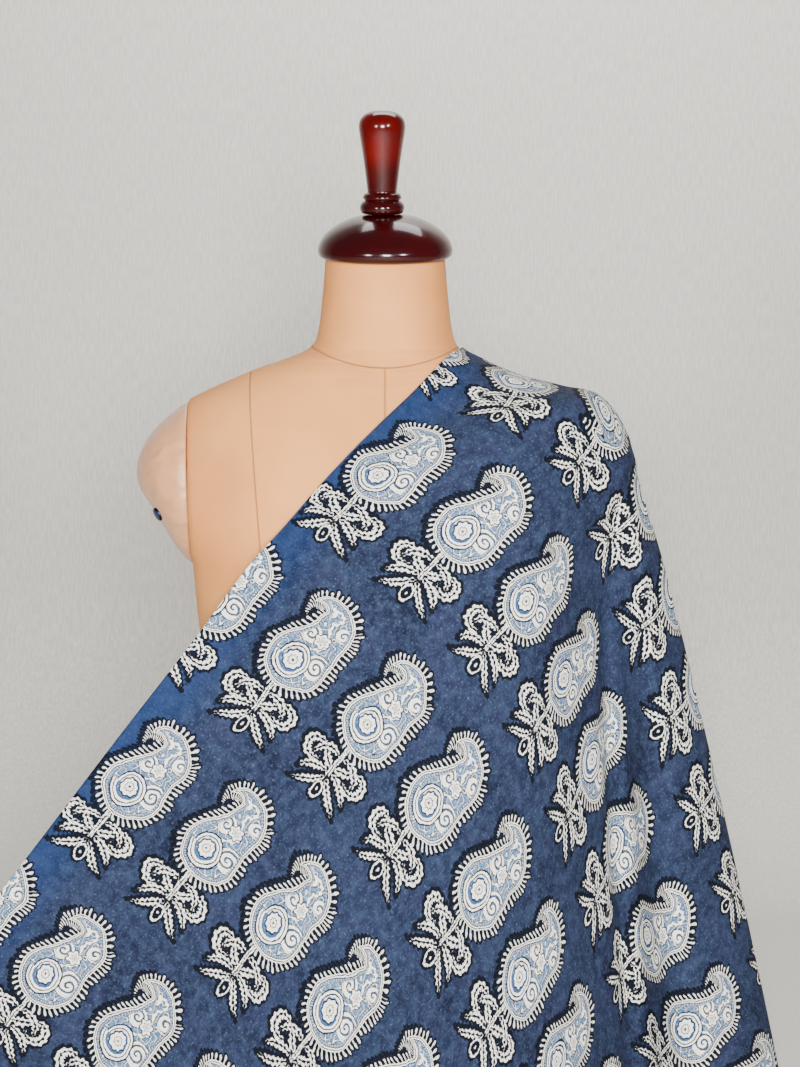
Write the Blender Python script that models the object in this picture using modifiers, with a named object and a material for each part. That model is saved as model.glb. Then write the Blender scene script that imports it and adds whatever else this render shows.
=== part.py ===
"""Printed cotton draped over one shoulder of a padded dress form.

Frame: origin under the form's centre on the surface it stands on, +Z up, front towards -Y and the
draped shoulder on +X. All tables are in millimetres.
"""

import math

import bmesh
import bpy
from mathutils import Matrix, Vector
from mathutils.bvhtree import BVHTree

MM = 0.001
COLLECTION = "draped_kalamkari_fabric_on_dress_form"

# Cloth
CLOTH_THICKNESS = 1.6
CLOTH_CLEARANCE = 1.0
SMOOTH_ROUNDS = 5
PUSH_ROUNDS = 4
MOVED = 0.01
PROBE = Vector((0.11, 0.05, 1.0)).normalized()
HEM_OVERRUN = 6.0
CLOTH_ROWS = 33

# One row for each section of the cloth, from the neck point down to the hem. Each section is a U that
# is open towards the neck: front selvedge, chest, side, valley, arm panel, shoulder fold, back, tail.
SECTION_COLUMNS = (
    "edge_x", "edge_y", "edge_z",
    "chest_x", "chest_y",
    "side_x", "side_y",
    "valley_x", "valley_y",
    "panel_x", "panel_y",
    "fold_x", "fold_y", "fold_z",
    "back_x", "back_y",
    "tail_x", "tail_y", "tail_z",
)
CLOTH_SECTIONS = (
    (-24, -88, 600, 2, -79, 26, -66, 45, -45, 58, -22, 65, 4, 680, 72, 50, 82, 88, 600),
    (-60, -98, 562, -15, -93, 36, -80, 78, -56, 99, -27, 109, 4, 660, 108, 56, 86, 97, 568),
    (-83, -104, 536, -13, -102, 60, -92, 116, -64, 140, -32, 150, 4, 649, 140, 62, 88, 102, 546),
    (-107, -109, 510, -8, -108, 82, -98, 150, -64, 171, -32, 181, 4, 641, 160, 68, 88, 106, 522),
    (-129, -113, 481, -3, -114, 96, -104, 176, -56, 195, -28, 203, 4, 611, 172, 74, 86, 108, 494),
    (-151, -116, 451, 0, -119, 104, -106, 187, -46, 204, -27, 212, 4, 575, 180, 78, 84, 109, 462),
    (-211, -119, 374, 5, -125, 112, -102, 190, -27, 214, -32, 236, 8, 499, 194, 84, 80, 108, 386),
    (-299, -123, 259, 9, -128, 118, -92, 200, -17, 236, -38, 276, 10, 344, 216, 88, 76, 104, 268),
    (-413, -128, 113, 13, -133, 124, -90, 214, -12, 266, -46, 322, 14, 147, 240, 92, 72, 102, 116),
    (-502, -132, 0, 15, -138, 130, -93, 221, -9, 289, -53, 354, 16, 0, 260, 95, 70, 102, 0),
)
# Faces between one named line of the section and the next.
CLOTH_SPANS = (13, 7, 7, 5, 6, 7, 8)

# Soft folds on top of the sections. along is the place between front selvedge (0) and tail (1), from
# and to are depths of the section below the neck (0) and at the hem (1).
FOLD_COLUMNS = ("name", "along_top", "along_hem", "start", "full", "height", "width")
CLOTH_FOLDS = (
    ("front_left_trough", 0.10, 0.13, 0.45, 1.00, -5.0, 0.045),
    ("front_left_ridge", 0.20, 0.24, 0.40, 1.00, 4.0, 0.040),
    ("chest_ridge", 0.34, 0.34, 0.55, 1.00, 4.0, 0.030),
    ("valley_crease", 0.51, 0.51, 0.34, 0.55, -5.0, 0.016),
    ("back_ridge_outer", 0.79, 0.77, 0.30, 0.90, 13.0, 0.020),
    ("back_trough_outer", 0.84, 0.82, 0.32, 0.90, -9.0, 0.018),
    ("back_ridge_inner", 0.89, 0.88, 0.34, 1.00, 15.0, 0.019),
    ("back_trough_inner", 0.94, 0.93, 0.36, 1.00, -8.0, 0.017),
)

# Form body: z, half width, depth to the front, depth to the back, roundness of the section.
BODY_COLUMNS = ("z", "half_width", "front", "back", "power")
BODY_SECTIONS = (
    (0, 146, 88, 98, 2.2),
    (6, 150, 91, 101, 2.2),
    (60, 152, 93, 103, 2.2),
    (140, 146, 90, 100, 2.2),
    (220, 131, 85, 86, 2.2),
    (290, 125, 88, 80, 2.2),
    (350, 136, 103, 85, 2.3),
    (400, 149, 115, 92, 2.35),
    (440, 157, 119, 98, 2.4),
    (475, 161, 116, 103, 2.4),
    (499, 165, 113, 105, 2.4),
    (515, 177, 110, 106, 2.4),
    (540, 187, 105, 106, 2.4),
    (567, 188, 100, 104, 2.4),
    (595, 186, 92, 99, 2.35),
    (615, 181, 85, 93, 2.3),
    (628, 175, 79, 87, 2.2),
    (637, 167, 75, 82, 2.1),
    (646, 150, 71, 77, 2.05),
    (655, 130, 67, 72, 2.0),
    (664, 108, 63, 68, 2.0),
    (672, 85, 60, 64, 2.0),
    (680, 66, 58, 61, 2.0),
    (690, 58, 57, 59, 2.0),
    (722, 53, 53, 53, 2.0),
    (756, 50, 50, 50, 2.0),
)
BODY_SEGMENTS = 44

# The neck leans forward from its foot, and its top is cut square to that lean.
NECK_LEAN = math.radians(8)
NECK_FOOT_Z = 680.0
NECK_TOP_Z = 756.0

# The flat armholes lie on planes that lean in a little towards the waist.
ARMHOLE_X = 163.0
ARMHOLE_Z = 567.0
ARMHOLE_SLOPE = 0.03
TOUCH_GAP = 0.4

# The right shoulder sags a little between neck and arm.
SAG_DEPTH = 6.5
SAG_X = 105.0
SAG_WIDTH = 38.0
SAG_FROM_Z = 600.0
SAG_FULL_Z = 650.0

# Arm pad: distance out from the armhole, top, bottom, half depth.
PAD_COLUMNS = ("out", "top", "bottom", "half_depth")
PAD_SECTIONS = (
    (0.0, 636, 499, 60),
    (5.0, 634, 501, 60),
    (13.0, 628, 510, 57),
    (22.0, 621, 525, 52),
    (31.0, 612, 541, 43),
    (39.0, 601, 554, 31),
    (44.5, 589, 563, 17),
    (46.8, 580, 571, 6),
)
PAD_CENTRE_Y = 1.0
PAD_SEGMENTS = 30
PAD_POWER = 2.2

# Bolt head on the left pad
BOLT_RADIUS = 6.0
BOLT_LENGTH = 7.0
BOLT_CENTRE = (-184.5, -27.0, 545.0)
BOLT_AXIS = (-0.58, -0.50, -0.64)
BOLT_FIT = 0.4

# Turned wood, as (radius, height above the foot) down the outer side.
CAP_PROFILE = (
    (0.0, 36.5), (12.0, 36.2), (20.0, 35.2), (30.0, 32.4), (40.0, 27.6), (48.0, 21.8),
    (53.4, 15.6), (56.0, 9.6), (56.5, 6.2), (55.6, 2.6), (53.0, 0.4), (50.0, 0.0), (0.0, 0.0),
)
KNOB_PROFILE = (
    (0.0, 84.5), (8.0, 83.8), (14.0, 81.4), (17.8, 77.6), (19.3, 72.6), (19.0, 67.0), (17.6, 58.0),
    (15.6, 45.0), (13.8, 31.0), (12.6, 21.0), (12.4, 17.4), (14.4, 16.4), (16.0, 14.2), (15.9, 12.4),
    (14.6, 10.9), (16.4, 9.6), (18.4, 6.6), (18.5, 3.6), (17.4, 0.8), (16.0, 0.0), (0.0, 0.0),
)
TURNED_STEPS = 36

# The knob stands a little to the left of the cap's centre.
KNOB_OFFSET = Vector((-2.5, 0.0, 0.0))


def clear_scene():
    """Remove whatever the scene holds."""
    for item in list(bpy.data.objects):
        bpy.data.objects.remove(item, do_unlink=True)


def make_material(name, colour, roughness, metallic=0.0):
    """Return a plain Principled material."""
    material = bpy.data.materials.new(name)
    material.use_nodes = True
    shader = material.node_tree.nodes["Principled BSDF"]
    shader.inputs["Base Color"].default_value = (*colour, 1.0)
    shader.inputs["Roughness"].default_value = roughness
    shader.inputs["Metallic"].default_value = metallic
    return material


def add_object(name, mesh, collection, material):
    """Put a mesh in the scene under the name of its node."""
    item = bpy.data.objects.new(name, mesh)
    mesh.name = name
    mesh.materials.clear()
    mesh.materials.append(material)
    collection.objects.link(item)
    return item


def mesh_from_bmesh(name, shape):
    """Turn a bmesh into a smooth shaded mesh with its faces pointing out."""
    bmesh.ops.recalc_face_normals(shape, faces=shape.faces)
    mesh = bpy.data.meshes.new(name)
    shape.to_mesh(mesh)
    shape.free()
    mesh.shade_smooth()
    mesh.set_sharp_from_angle(angle=math.radians(35))
    return mesh


def rows_of(columns, table):
    """Give each row of a table as a dictionary by column name."""
    return [dict(zip(columns, row)) for row in table]


def hermite(stops, values, at):
    """Read a smooth curve through values placed at growing stops."""
    last = len(stops) - 1
    index = 0
    while index < last - 1 and at > stops[index + 1]:
        index += 1

    def slope(i):
        low, high = max(i - 1, 0), min(i + 1, last)
        return (values[high] - values[low]) / (stops[high] - stops[low])

    span = stops[index + 1] - stops[index]
    t = (at - stops[index]) / span
    a, b = values[index], values[index + 1]
    ma, mb = slope(index) * span, slope(index + 1) * span
    return (
        a * (2 * t**3 - 3 * t**2 + 1)
        + ma * (t**3 - 2 * t**2 + t)
        + b * (3 * t**2 - 2 * t**3)
        + mb * (t**3 - t**2)
    )


def ease(start, full, at):
    """Rise smoothly from 0 at start to 1 at full."""
    t = min(max((at - start) / (full - start), 0.0), 1.0)
    return t * t * (3.0 - 2.0 * t)


def loft(name, rings):
    """Join closed rings of points into one solid with flat ends."""
    shape = bmesh.new()
    loops = [[shape.verts.new(point * MM) for point in ring] for ring in rings]
    for low, high in zip(loops, loops[1:]):
        count = len(low)
        for i in range(count):
            j = (i + 1) % count
            shape.faces.new((low[i], low[j], high[j], high[i]))
    shape.faces.new(list(reversed(loops[0])))
    shape.faces.new(loops[-1])
    return mesh_from_bmesh(name, shape)


def oval_point(turn, power):
    """A point of a unit oval, squarer as power grows past 2."""
    x, y = math.cos(turn), math.sin(turn)
    stretch = (abs(x) ** power + abs(y) ** power) ** (-1.0 / power)
    return x * stretch, y * stretch


def armhole_plane(z):
    """How far the armhole lies from the form's centre at height z."""
    return ARMHOLE_X + ARMHOLE_SLOPE * (z - ARMHOLE_Z)


def neck_axis():
    """Direction of the leaning neck."""
    return Vector((0.0, -math.sin(NECK_LEAN), math.cos(NECK_LEAN)))


def neck_top():
    """Centre of the neck's top face."""
    rise = NECK_TOP_Z - NECK_FOOT_Z
    return Vector((0.0, -rise * math.tan(NECK_LEAN), NECK_TOP_Z))


def shoulder_sag(x, z):
    """How far the right shoulder sinks at a place on the body."""
    if x < 0.0:
        return 0.0
    bell = math.exp(-(((x - SAG_X) / SAG_WIDTH) ** 2))
    return SAG_DEPTH * bell * ease(SAG_FROM_Z, SAG_FULL_Z, z)


def body_ring(section):
    """One ring of the form's body, flat at the armholes and leaning with the neck."""
    z = section["z"]
    lift = max(z - NECK_FOOT_Z, 0.0)
    share = lift / (NECK_TOP_Z - NECK_FOOT_Z)
    centre_y = -lift * math.tan(NECK_LEAN)
    reach = armhole_plane(z)
    ring = []
    for i in range(BODY_SEGMENTS):
        x, y = oval_point(2.0 * math.pi * i / BODY_SEGMENTS, section["power"])
        depth = section["back"] if y > 0.0 else section["front"]
        px = max(-reach, min(reach, x * section["half_width"]))
        py = y * depth
        height = z + share * py * math.tan(NECK_LEAN) - shoulder_sag(px, z)
        ring.append(Vector((px, centre_y + py, height)))
    return ring


def build_body(collection, material):
    """The padded torso and neck as one solid."""
    rings = [body_ring(section) for section in rows_of(BODY_COLUMNS, BODY_SECTIONS)]
    return add_object("form_body", loft("form_body", rings), collection, material)


def build_pad(name, side, collection, material):
    """An arm pad against its armhole; side is -1 on the left and 1 on the right."""
    rings = []
    for section in rows_of(PAD_COLUMNS, PAD_SECTIONS):
        centre_z = 0.5 * (section["top"] + section["bottom"])
        half_height = 0.5 * (section["top"] - section["bottom"])
        ring = []
        for i in range(PAD_SEGMENTS):
            y, z = oval_point(2.0 * math.pi * i / PAD_SEGMENTS, PAD_POWER)
            height = centre_z + half_height * z
            x = armhole_plane(height) + TOUCH_GAP + section["out"]
            ring.append(Vector((side * x, PAD_CENTRE_Y + section["half_depth"] * y, height)))
        rings.append(ring)
    return add_object(name, loft(name, rings), collection, material)


def cylinder_mesh(name, radius, length, foot, axis):
    """A plain cylinder that starts at foot and runs along axis."""
    shape = bmesh.new()
    turn = Vector((0.0, 0.0, 1.0)).rotation_difference(axis).to_matrix().to_4x4()
    move = Matrix.Translation((foot + axis * (length * 0.5)) * MM)
    bmesh.ops.create_cone(
        shape, cap_ends=True, segments=24, radius1=radius * MM, radius2=radius * MM,
        depth=length * MM, matrix=move @ turn,
    )
    return mesh_from_bmesh(name, shape)


def build_bolt(pad, collection, cutters, material):
    """The bolt head, in a pocket of the left arm pad."""
    axis = Vector(BOLT_AXIS).normalized()
    foot = Vector(BOLT_CENTRE) - axis * (BOLT_LENGTH * 0.6)
    pocket_mesh = cylinder_mesh(
        "bolt_pocket", BOLT_RADIUS + BOLT_FIT, 3.0 * BOLT_LENGTH, foot - axis * BOLT_FIT, axis,
    )
    pocket = add_object("bolt_pocket", pocket_mesh, cutters, material)
    pocket.hide_render = True
    pocket.display_type = "WIRE"
    cut = pad.modifiers.new("bolt_pocket", "BOOLEAN")
    cut.operation = "DIFFERENCE"
    cut.object = pocket
    bolt_mesh = cylinder_mesh("pad_bolt", BOLT_RADIUS, BOLT_LENGTH, foot, axis)
    return add_object("pad_bolt", bolt_mesh, collection, material)


def build_turned(name, profile, foot, collection, material):
    """A turned piece on the neck's axis, standing on foot."""
    mesh = bpy.data.meshes.new(name)
    points = [(radius * MM, 0.0, height * MM) for radius, height in profile]
    mesh.from_pydata(points, [(i, i + 1) for i in range(len(points) - 1)], [])
    item = add_object(name, mesh, collection, material)
    spin = item.modifiers.new("turned", "SCREW")
    spin.steps = TURNED_STEPS
    spin.render_steps = TURNED_STEPS
    spin.use_merge_vertices = True
    spin.merge_threshold = 0.00001
    spin.use_smooth_shade = True
    item.location = foot * MM
    item.rotation_euler = (NECK_LEAN, 0.0, 0.0)
    return item


def section_stations(section):
    """Points along one section, with a fixed number between each two named lines."""
    names = ("edge", "chest", "side", "valley", "panel", "fold", "back", "tail")
    plan = [Vector((section[name + "_x"], section[name + "_y"])) for name in names]
    stops = [0.0]
    for a, b in zip(plan, plan[1:]):
        stops.append(stops[-1] + (b - a).length)
    fold_stop = stops[names.index("fold")]
    stations = []
    for span, (start, end) in zip(CLOTH_SPANS, zip(stops, stops[1:])):
        stations += [start + (end - start) * i / span for i in range(span)]
    stations.append(stops[-1])
    points = []
    for at in stations:
        x = hermite(stops, [p.x for p in plan], at)
        y = hermite(stops, [p.y for p in plan], at)
        if at <= fold_stop:
            low, share = section["edge_z"], at / fold_stop
        else:
            low, share = section["tail_z"], (stops[-1] - at) / (stops[-1] - fold_stop)
        z = low + (section["fold_z"] - low) * math.sin(0.5 * math.pi * share)
        points.append(Vector((x, y, z)))
    return points


def cloth_grid():
    """The cloth's middle surface as rows of points, from the neck point to just under the hem."""
    sections = rows_of(SECTION_COLUMNS, CLOTH_SECTIONS)
    ridge = [Vector((s["fold_x"], s["fold_y"], s["fold_z"])) for s in sections]
    stops = [0.0]
    for a, b in zip(ridge, ridge[1:]):
        stops.append(stops[-1] + (b - a).length)
    grid = []
    for i in range(CLOTH_ROWS + 1):
        at = stops[-1] * i / CLOTH_ROWS
        section = {key: hermite(stops, [s[key] for s in sections], at) for key in SECTION_COLUMNS}
        grid.append(section_stations(section))
    return grid


def grid_normal(grid, row, column):
    """Outward direction of the cloth at one point of the grid."""
    across = grid[row][min(column + 1, len(grid[row]) - 1)] - grid[row][max(column - 1, 0)]
    down = grid[min(row + 1, len(grid) - 1)][column] - grid[max(row - 1, 0)][column]
    return down.cross(across).normalized()


def add_folds(grid):
    """Raise the ridges and sink the troughs of the folds table."""
    folds = rows_of(FOLD_COLUMNS, CLOTH_FOLDS)
    moved = [list(row) for row in grid]
    for row, points in enumerate(grid):
        depth = row / (len(grid) - 1)
        for column, point in enumerate(points):
            along = column / (len(points) - 1)
            offset = 0.0
            for fold in folds:
                centre = fold["along_top"] + (fold["along_hem"] - fold["along_top"]) * depth
                bell = math.exp(-(((along - centre) / fold["width"]) ** 2))
                offset += fold["height"] * bell * ease(fold["start"], fold["full"], depth)
            normal = grid_normal(grid, row, column)
            normal.z = 0.0
            moved[row][column] = point + normal * offset
    return moved


def on_armhole(face):
    """Tell whether a face lies flat on the right armhole, between the body and its pad."""
    return all(abs(v.co.x / MM - armhole_plane(v.co.z / MM)) < 2.0 * TOUCH_GAP for v in face.verts)


def search_trees(item):
    """Search trees over one solid: all of its faces, and those that the cloth can lie on."""
    shape = bmesh.new()
    shape.from_mesh(item.data)
    whole = BVHTree.FromBMesh(shape)
    hidden = [face for face in shape.faces if on_armhole(face)]
    bmesh.ops.delete(shape, geom=hidden, context="FACES")
    skin = BVHTree.FromBMesh(shape)
    shape.free()
    return whole, skin


def is_inside(tree, place):
    """Count the faces above a place: an odd number means that it is in the solid."""
    count = 0
    hit = tree.ray_cast(place, PROBE)[0]
    while hit is not None:
        count += 1
        hit = tree.ray_cast(hit + PROBE * 1e-6, PROBE)[0]
    return count % 2 == 1


def clear_of(trees, point, distance):
    """Move a point out of each solid until it lies at least this far from its skin."""
    for whole, skin in trees:
        place, normal, _, gap = skin.find_nearest(point * MM)
        if is_inside(whole, point * MM):
            point = place / MM + normal * distance
        elif gap < distance * MM:
            point = place / MM + (point - place / MM).normalized() * distance
    return point


def push_corners(grid, trees, distance):
    """Move the corners of each face that comes too near the form, by what the face lacks."""
    moves = [[Vector() for _ in row] for row in grid]
    for row in range(len(grid) - 1):
        for column in range(len(grid[row]) - 1):
            corners = [(row, column), (row, column + 1), (row + 1, column + 1), (row + 1, column)]
            for test in (corners, corners[:2], corners[1:3], corners[0::2], corners[1::2], corners[:1]):
                middle = sum((grid[i][j] for i, j in test), Vector()) / len(test)
                lack = clear_of(trees, middle, distance) - middle
                for i, j in test:
                    if lack.length > moves[i][j].length:
                        moves[i][j] = lack
    return [[p + m for p, m in zip(row, move)] for row, move in zip(grid, moves)], moves


def smooth_moved(grid, moves):
    """Ease the points that were moved towards the middle of their neighbours."""
    eased = [list(row) for row in grid]
    for row in range(1, len(grid) - 1):
        for column in range(1, len(grid[row]) - 1):
            if moves[row][column].length > MOVED:
                ring = grid[row - 1][column] + grid[row + 1][column]
                ring = ring + grid[row][column - 1] + grid[row][column + 1]
                eased[row][column] = grid[row][column].lerp(ring / 4.0, 0.4)
    return eased


def settle(grid, trees):
    """Lay the cloth on the form, smooth where it was pushed out, with its clearance everywhere."""
    distance = CLOTH_CLEARANCE + 0.5 * CLOTH_THICKNESS
    for turn in range(SMOOTH_ROUNDS + PUSH_ROUNDS):
        grid, moves = push_corners(grid, trees, distance)
        if turn < SMOOTH_ROUNDS:
            grid = smooth_moved(grid, moves)
    return grid


def build_cloth(trees, collection, material):
    """The draped cloth as one thin solid that ends level on the surface under the form."""
    grid = settle(add_folds(cloth_grid()), trees)
    for point, above in zip(grid[-1], grid[-2]):
        slope = (point - above) / (above.z - point.z)
        point += slope * (point.z + HEM_OVERRUN)
    columns = sum(CLOTH_SPANS)
    shape = bmesh.new()
    bmesh.ops.create_grid(shape, x_segments=columns, y_segments=CLOTH_ROWS, size=1.0)
    for vert in shape.verts:
        column = round((vert.co.x + 1.0) * 0.5 * columns)
        row = round((1.0 - vert.co.y) * 0.5 * CLOTH_ROWS)
        vert.co = grid[row][column] * MM
    mesh = bpy.data.meshes.new("kalamkari_cloth")
    shape.to_mesh(mesh)
    shape.free()
    item = add_object("kalamkari_cloth", mesh, collection, material)
    sheet = item.modifiers.new("sheet", "SOLIDIFY")
    sheet.thickness = CLOTH_THICKNESS * MM
    sheet.offset = 0.0
    sheet.use_even_offset = False
    trim_hem(item)
    return item


def trim_hem(item):
    """Cut the solid sheet level at the surface it stands on."""
    graph = bpy.context.evaluated_depsgraph_get()
    solid = bpy.data.meshes.new_from_object(item.evaluated_get(graph))
    item.modifiers.clear()
    shape = bmesh.new()
    shape.from_mesh(solid)
    parts = shape.verts[:] + shape.edges[:] + shape.faces[:]
    cut = bmesh.ops.bisect_plane(
        shape, geom=parts, dist=1e-7, plane_co=(0.0, 0.0, 0.0), plane_no=(0.0, 0.0, 1.0),
        clear_inner=True,
    )
    rim = [edge for edge in cut["geom_cut"] if isinstance(edge, bmesh.types.BMEdge)]
    bmesh.ops.holes_fill(shape, edges=rim, sides=0)
    bmesh.ops.triangulate(shape, faces=[face for face in shape.faces if len(face.verts) > 4])
    bmesh.ops.recalc_face_normals(shape, faces=shape.faces)
    if shape.calc_volume(signed=True) < 0.0:
        bmesh.ops.reverse_faces(shape, faces=shape.faces)
    shape.to_mesh(item.data)
    shape.free()
    bpy.data.meshes.remove(solid)
    item.data.shade_smooth()


def main():
    clear_scene()
    collection = bpy.data.collections.new(COLLECTION)
    cutters = bpy.data.collections.new("cutters")
    bpy.context.scene.collection.children.link(collection)
    bpy.context.scene.collection.children.link(cutters)

    cover = make_material("form_cover", (0.64, 0.43, 0.28), 0.75)
    satin = make_material("pad_satin", (0.72, 0.50, 0.33), 0.4)
    wood = make_material("cherry_lacquer", (0.10, 0.004, 0.003), 0.12)
    steel = make_material("blued_steel", (0.02, 0.03, 0.07), 0.3, 1.0)
    cotton = make_material("indigo_cotton", (0.045, 0.10, 0.25), 0.85)

    body = build_body(collection, cover)
    left_pad = build_pad("arm_pad_left", -1.0, collection, satin)
    right_pad = build_pad("arm_pad_right", 1.0, collection, satin)
    build_bolt(left_pad, collection, cutters, steel)

    cap_foot = neck_top() + neck_axis() * TOUCH_GAP
    knob_foot = cap_foot + KNOB_OFFSET + neck_axis() * (CAP_PROFILE[0][1] + TOUCH_GAP)
    build_turned("neck_cap", CAP_PROFILE, cap_foot, collection, wood)
    build_turned("neck_knob", KNOB_PROFILE, knob_foot, collection, wood)

    build_cloth([search_trees(body), search_trees(right_pad)], collection, cotton)


main()
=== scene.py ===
"""Looks of a kalamkari cotton cloth draped over one shoulder of a padded dress form.

Frame: origin under the form's centre on the surface it stands on, +Z up, front towards -Y and the
draped shoulder on +X. Tables and sizes are in millimetres unless a name says otherwise.
"""
import logging
import math
from dataclasses import dataclass, field
from enum import Enum
from typing import NamedTuple

import bmesh
import bpy
import numpy as np
from mathutils import Matrix, Vector
from mathutils.bvhtree import BVHTree


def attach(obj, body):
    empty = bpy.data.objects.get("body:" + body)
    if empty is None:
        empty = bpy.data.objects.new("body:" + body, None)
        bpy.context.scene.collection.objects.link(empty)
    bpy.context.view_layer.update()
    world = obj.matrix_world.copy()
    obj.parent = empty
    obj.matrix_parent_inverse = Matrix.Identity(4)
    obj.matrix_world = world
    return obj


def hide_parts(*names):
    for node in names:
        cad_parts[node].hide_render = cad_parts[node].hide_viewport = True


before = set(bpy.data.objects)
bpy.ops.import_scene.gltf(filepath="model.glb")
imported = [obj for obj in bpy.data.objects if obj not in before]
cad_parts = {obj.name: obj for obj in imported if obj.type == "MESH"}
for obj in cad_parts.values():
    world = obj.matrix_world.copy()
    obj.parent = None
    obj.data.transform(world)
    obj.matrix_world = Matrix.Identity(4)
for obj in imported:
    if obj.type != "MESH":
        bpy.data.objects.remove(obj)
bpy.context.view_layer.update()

MM = 0.001
BODY = "root"
CUT_MAP = "cut"
PROBE = Vector((0.11, 0.05, 1.0)).normalized()
TINY = 1e-6

LOG = logging.getLogger("kalamkari")

Colour = tuple[float, float, float]


def linear(red: int, green: int, blue: int) -> Colour:
    """Turn a screen colour into the linear colour that a shader takes.

    Args:
        red, green, blue: parts of the screen colour, 0 to 255.

    Returns:
        The linear colour.
    """
    def part(value: int) -> float:
        """One part of the colour, as a share of full light."""
        share = value / 255.0
        return share / 12.92 if share <= 0.04045 else ((share + 0.055) / 1.055) ** 2.4

    return part(red), part(green), part(blue)


def hermite(stops: np.ndarray, values: np.ndarray, at: np.ndarray) -> np.ndarray:
    """Read a smooth curve through values placed at growing stops.

    Args:
        stops: places of the values.
        values: one value, or one row of values, for each stop.
        at: places to read.

    Returns:
        The curve's values at those places.
    """
    stops, values, at = (np.asarray(item, dtype=float) for item in (stops, values, at))
    last = len(stops) - 1
    index = np.clip(np.searchsorted(stops, at, side="left") - 1, 0, last - 1)
    before = np.maximum(np.arange(last + 1) - 1, 0)
    after = np.minimum(np.arange(last + 1) + 1, last)
    shape = (-1,) + (1,) * (values.ndim - 1)
    slopes = (values[after] - values[before]) / (stops[after] - stops[before]).reshape(shape)
    span = (stops[index + 1] - stops[index]).reshape(shape)
    t = (at - stops[index]).reshape(shape) / span
    a, b = values[index], values[index + 1]
    ma, mb = slopes[index] * span, slopes[index + 1] * span
    return (
        a * (2 * t**3 - 3 * t**2 + 1)
        + ma * (t**3 - 2 * t**2 + t)
        + b * (3 * t**2 - 2 * t**3)
        + mb * (t**3 - t**2)
    )


def ease(start: float, full: float, at: np.ndarray) -> np.ndarray:
    """Rise smoothly from 0 at start to 1 at full."""
    t = np.clip((np.asarray(at, dtype=float) - start) / (full - start), 0.0, 1.0)
    return t * t * (3.0 - 2.0 * t)


def finish_mesh(name: str, shape: bmesh.types.BMesh) -> bpy.types.Object:
    """Turn a bmesh into a smooth shaded object in the scene, its faces pointing outwards.

    Args:
        name: name of the piece.
        shape: the shape in metres; it is freed.

    Returns:
        The new object, at the origin.
    """
    bmesh.ops.recalc_face_normals(shape, faces=shape.faces)
    mesh = bpy.data.meshes.new(name)
    shape.to_mesh(mesh)
    shape.free()
    mesh.shade_smooth()
    item = bpy.data.objects.new(name, mesh)
    bpy.context.scene.collection.objects.link(item)
    return item


def grid_shape(points: np.ndarray, cut: np.ndarray | None = None) -> bmesh.types.BMesh:
    """A grid of faces whose vertices lie at the given points.

    Args:
        points: rows by columns by 3, in millimetres.
        cut: each point's place on the flat cloth, in millimetres, where the piece is a cloth.

    Returns:
        The bmesh, in metres.
    """
    rows, columns = points.shape[0] - 1, points.shape[1] - 1
    shape = bmesh.new()
    bmesh.ops.create_grid(shape, x_segments=columns, y_segments=rows, size=1.0)
    flat = None if cut is None else shape.loops.layers.uv.new(CUT_MAP)
    for vert in shape.verts:
        column = round((vert.co.x + 1.0) * 0.5 * columns)
        row = round((1.0 - vert.co.y) * 0.5 * rows)
        vert.co = Vector(points[row, column]) * MM
        if flat is not None:
            for loop in vert.link_loops:
                loop[flat].uv = Vector(cut[row, column]) * MM
    return shape


def tube_shape(rings: np.ndarray) -> bmesh.types.BMesh:
    """A closed tube through rings of points, with both ends filled.

    Args:
        rings: rings by points by 3, in millimetres; the last point of a ring meets its first.

    Returns:
        The closed bmesh, in metres.
    """
    shape = grid_shape(rings)
    bmesh.ops.remove_doubles(shape, verts=shape.verts, dist=TINY)
    rim = [edge for edge in shape.edges if edge.is_boundary]
    bmesh.ops.holes_fill(shape, edges=rim, sides=0)
    caps = [face for face in shape.faces if len(face.verts) > 4]
    bmesh.ops.inset_individual(shape, faces=caps, thickness=1.5 * MM, use_even_offset=True)
    return shape


class Link:
    """An output of a node. Arithmetic on one that is a number adds the Math node for it."""

    def __init__(self, graph: "Graph", socket: bpy.types.NodeSocket) -> None:
        """Hold an output and the graph that it belongs to."""
        self.graph = graph
        self.socket = socket

    def __add__(self, other: object) -> "Link":
        """The sum with a link or a number."""
        return self.graph.math("ADD", self, other)

    def __sub__(self, other: object) -> "Link":
        """What is left after taking a link or a number away."""
        return self.graph.math("SUBTRACT", self, other)

    def __rsub__(self, other: float) -> "Link":
        """What is left of a number after taking this away."""
        return self.graph.math("SUBTRACT", other, self)

    def __mul__(self, other: object) -> "Link":
        """The product with a link or a number."""
        return self.graph.math("MULTIPLY", self, other)

    def __truediv__(self, other: object) -> "Link":
        """This, divided by a link or a number."""
        return self.graph.math("DIVIDE", self, other)

    def __abs__(self) -> "Link":
        """The size without the sign."""
        return self.graph.math("ABSOLUTE", self)


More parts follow.
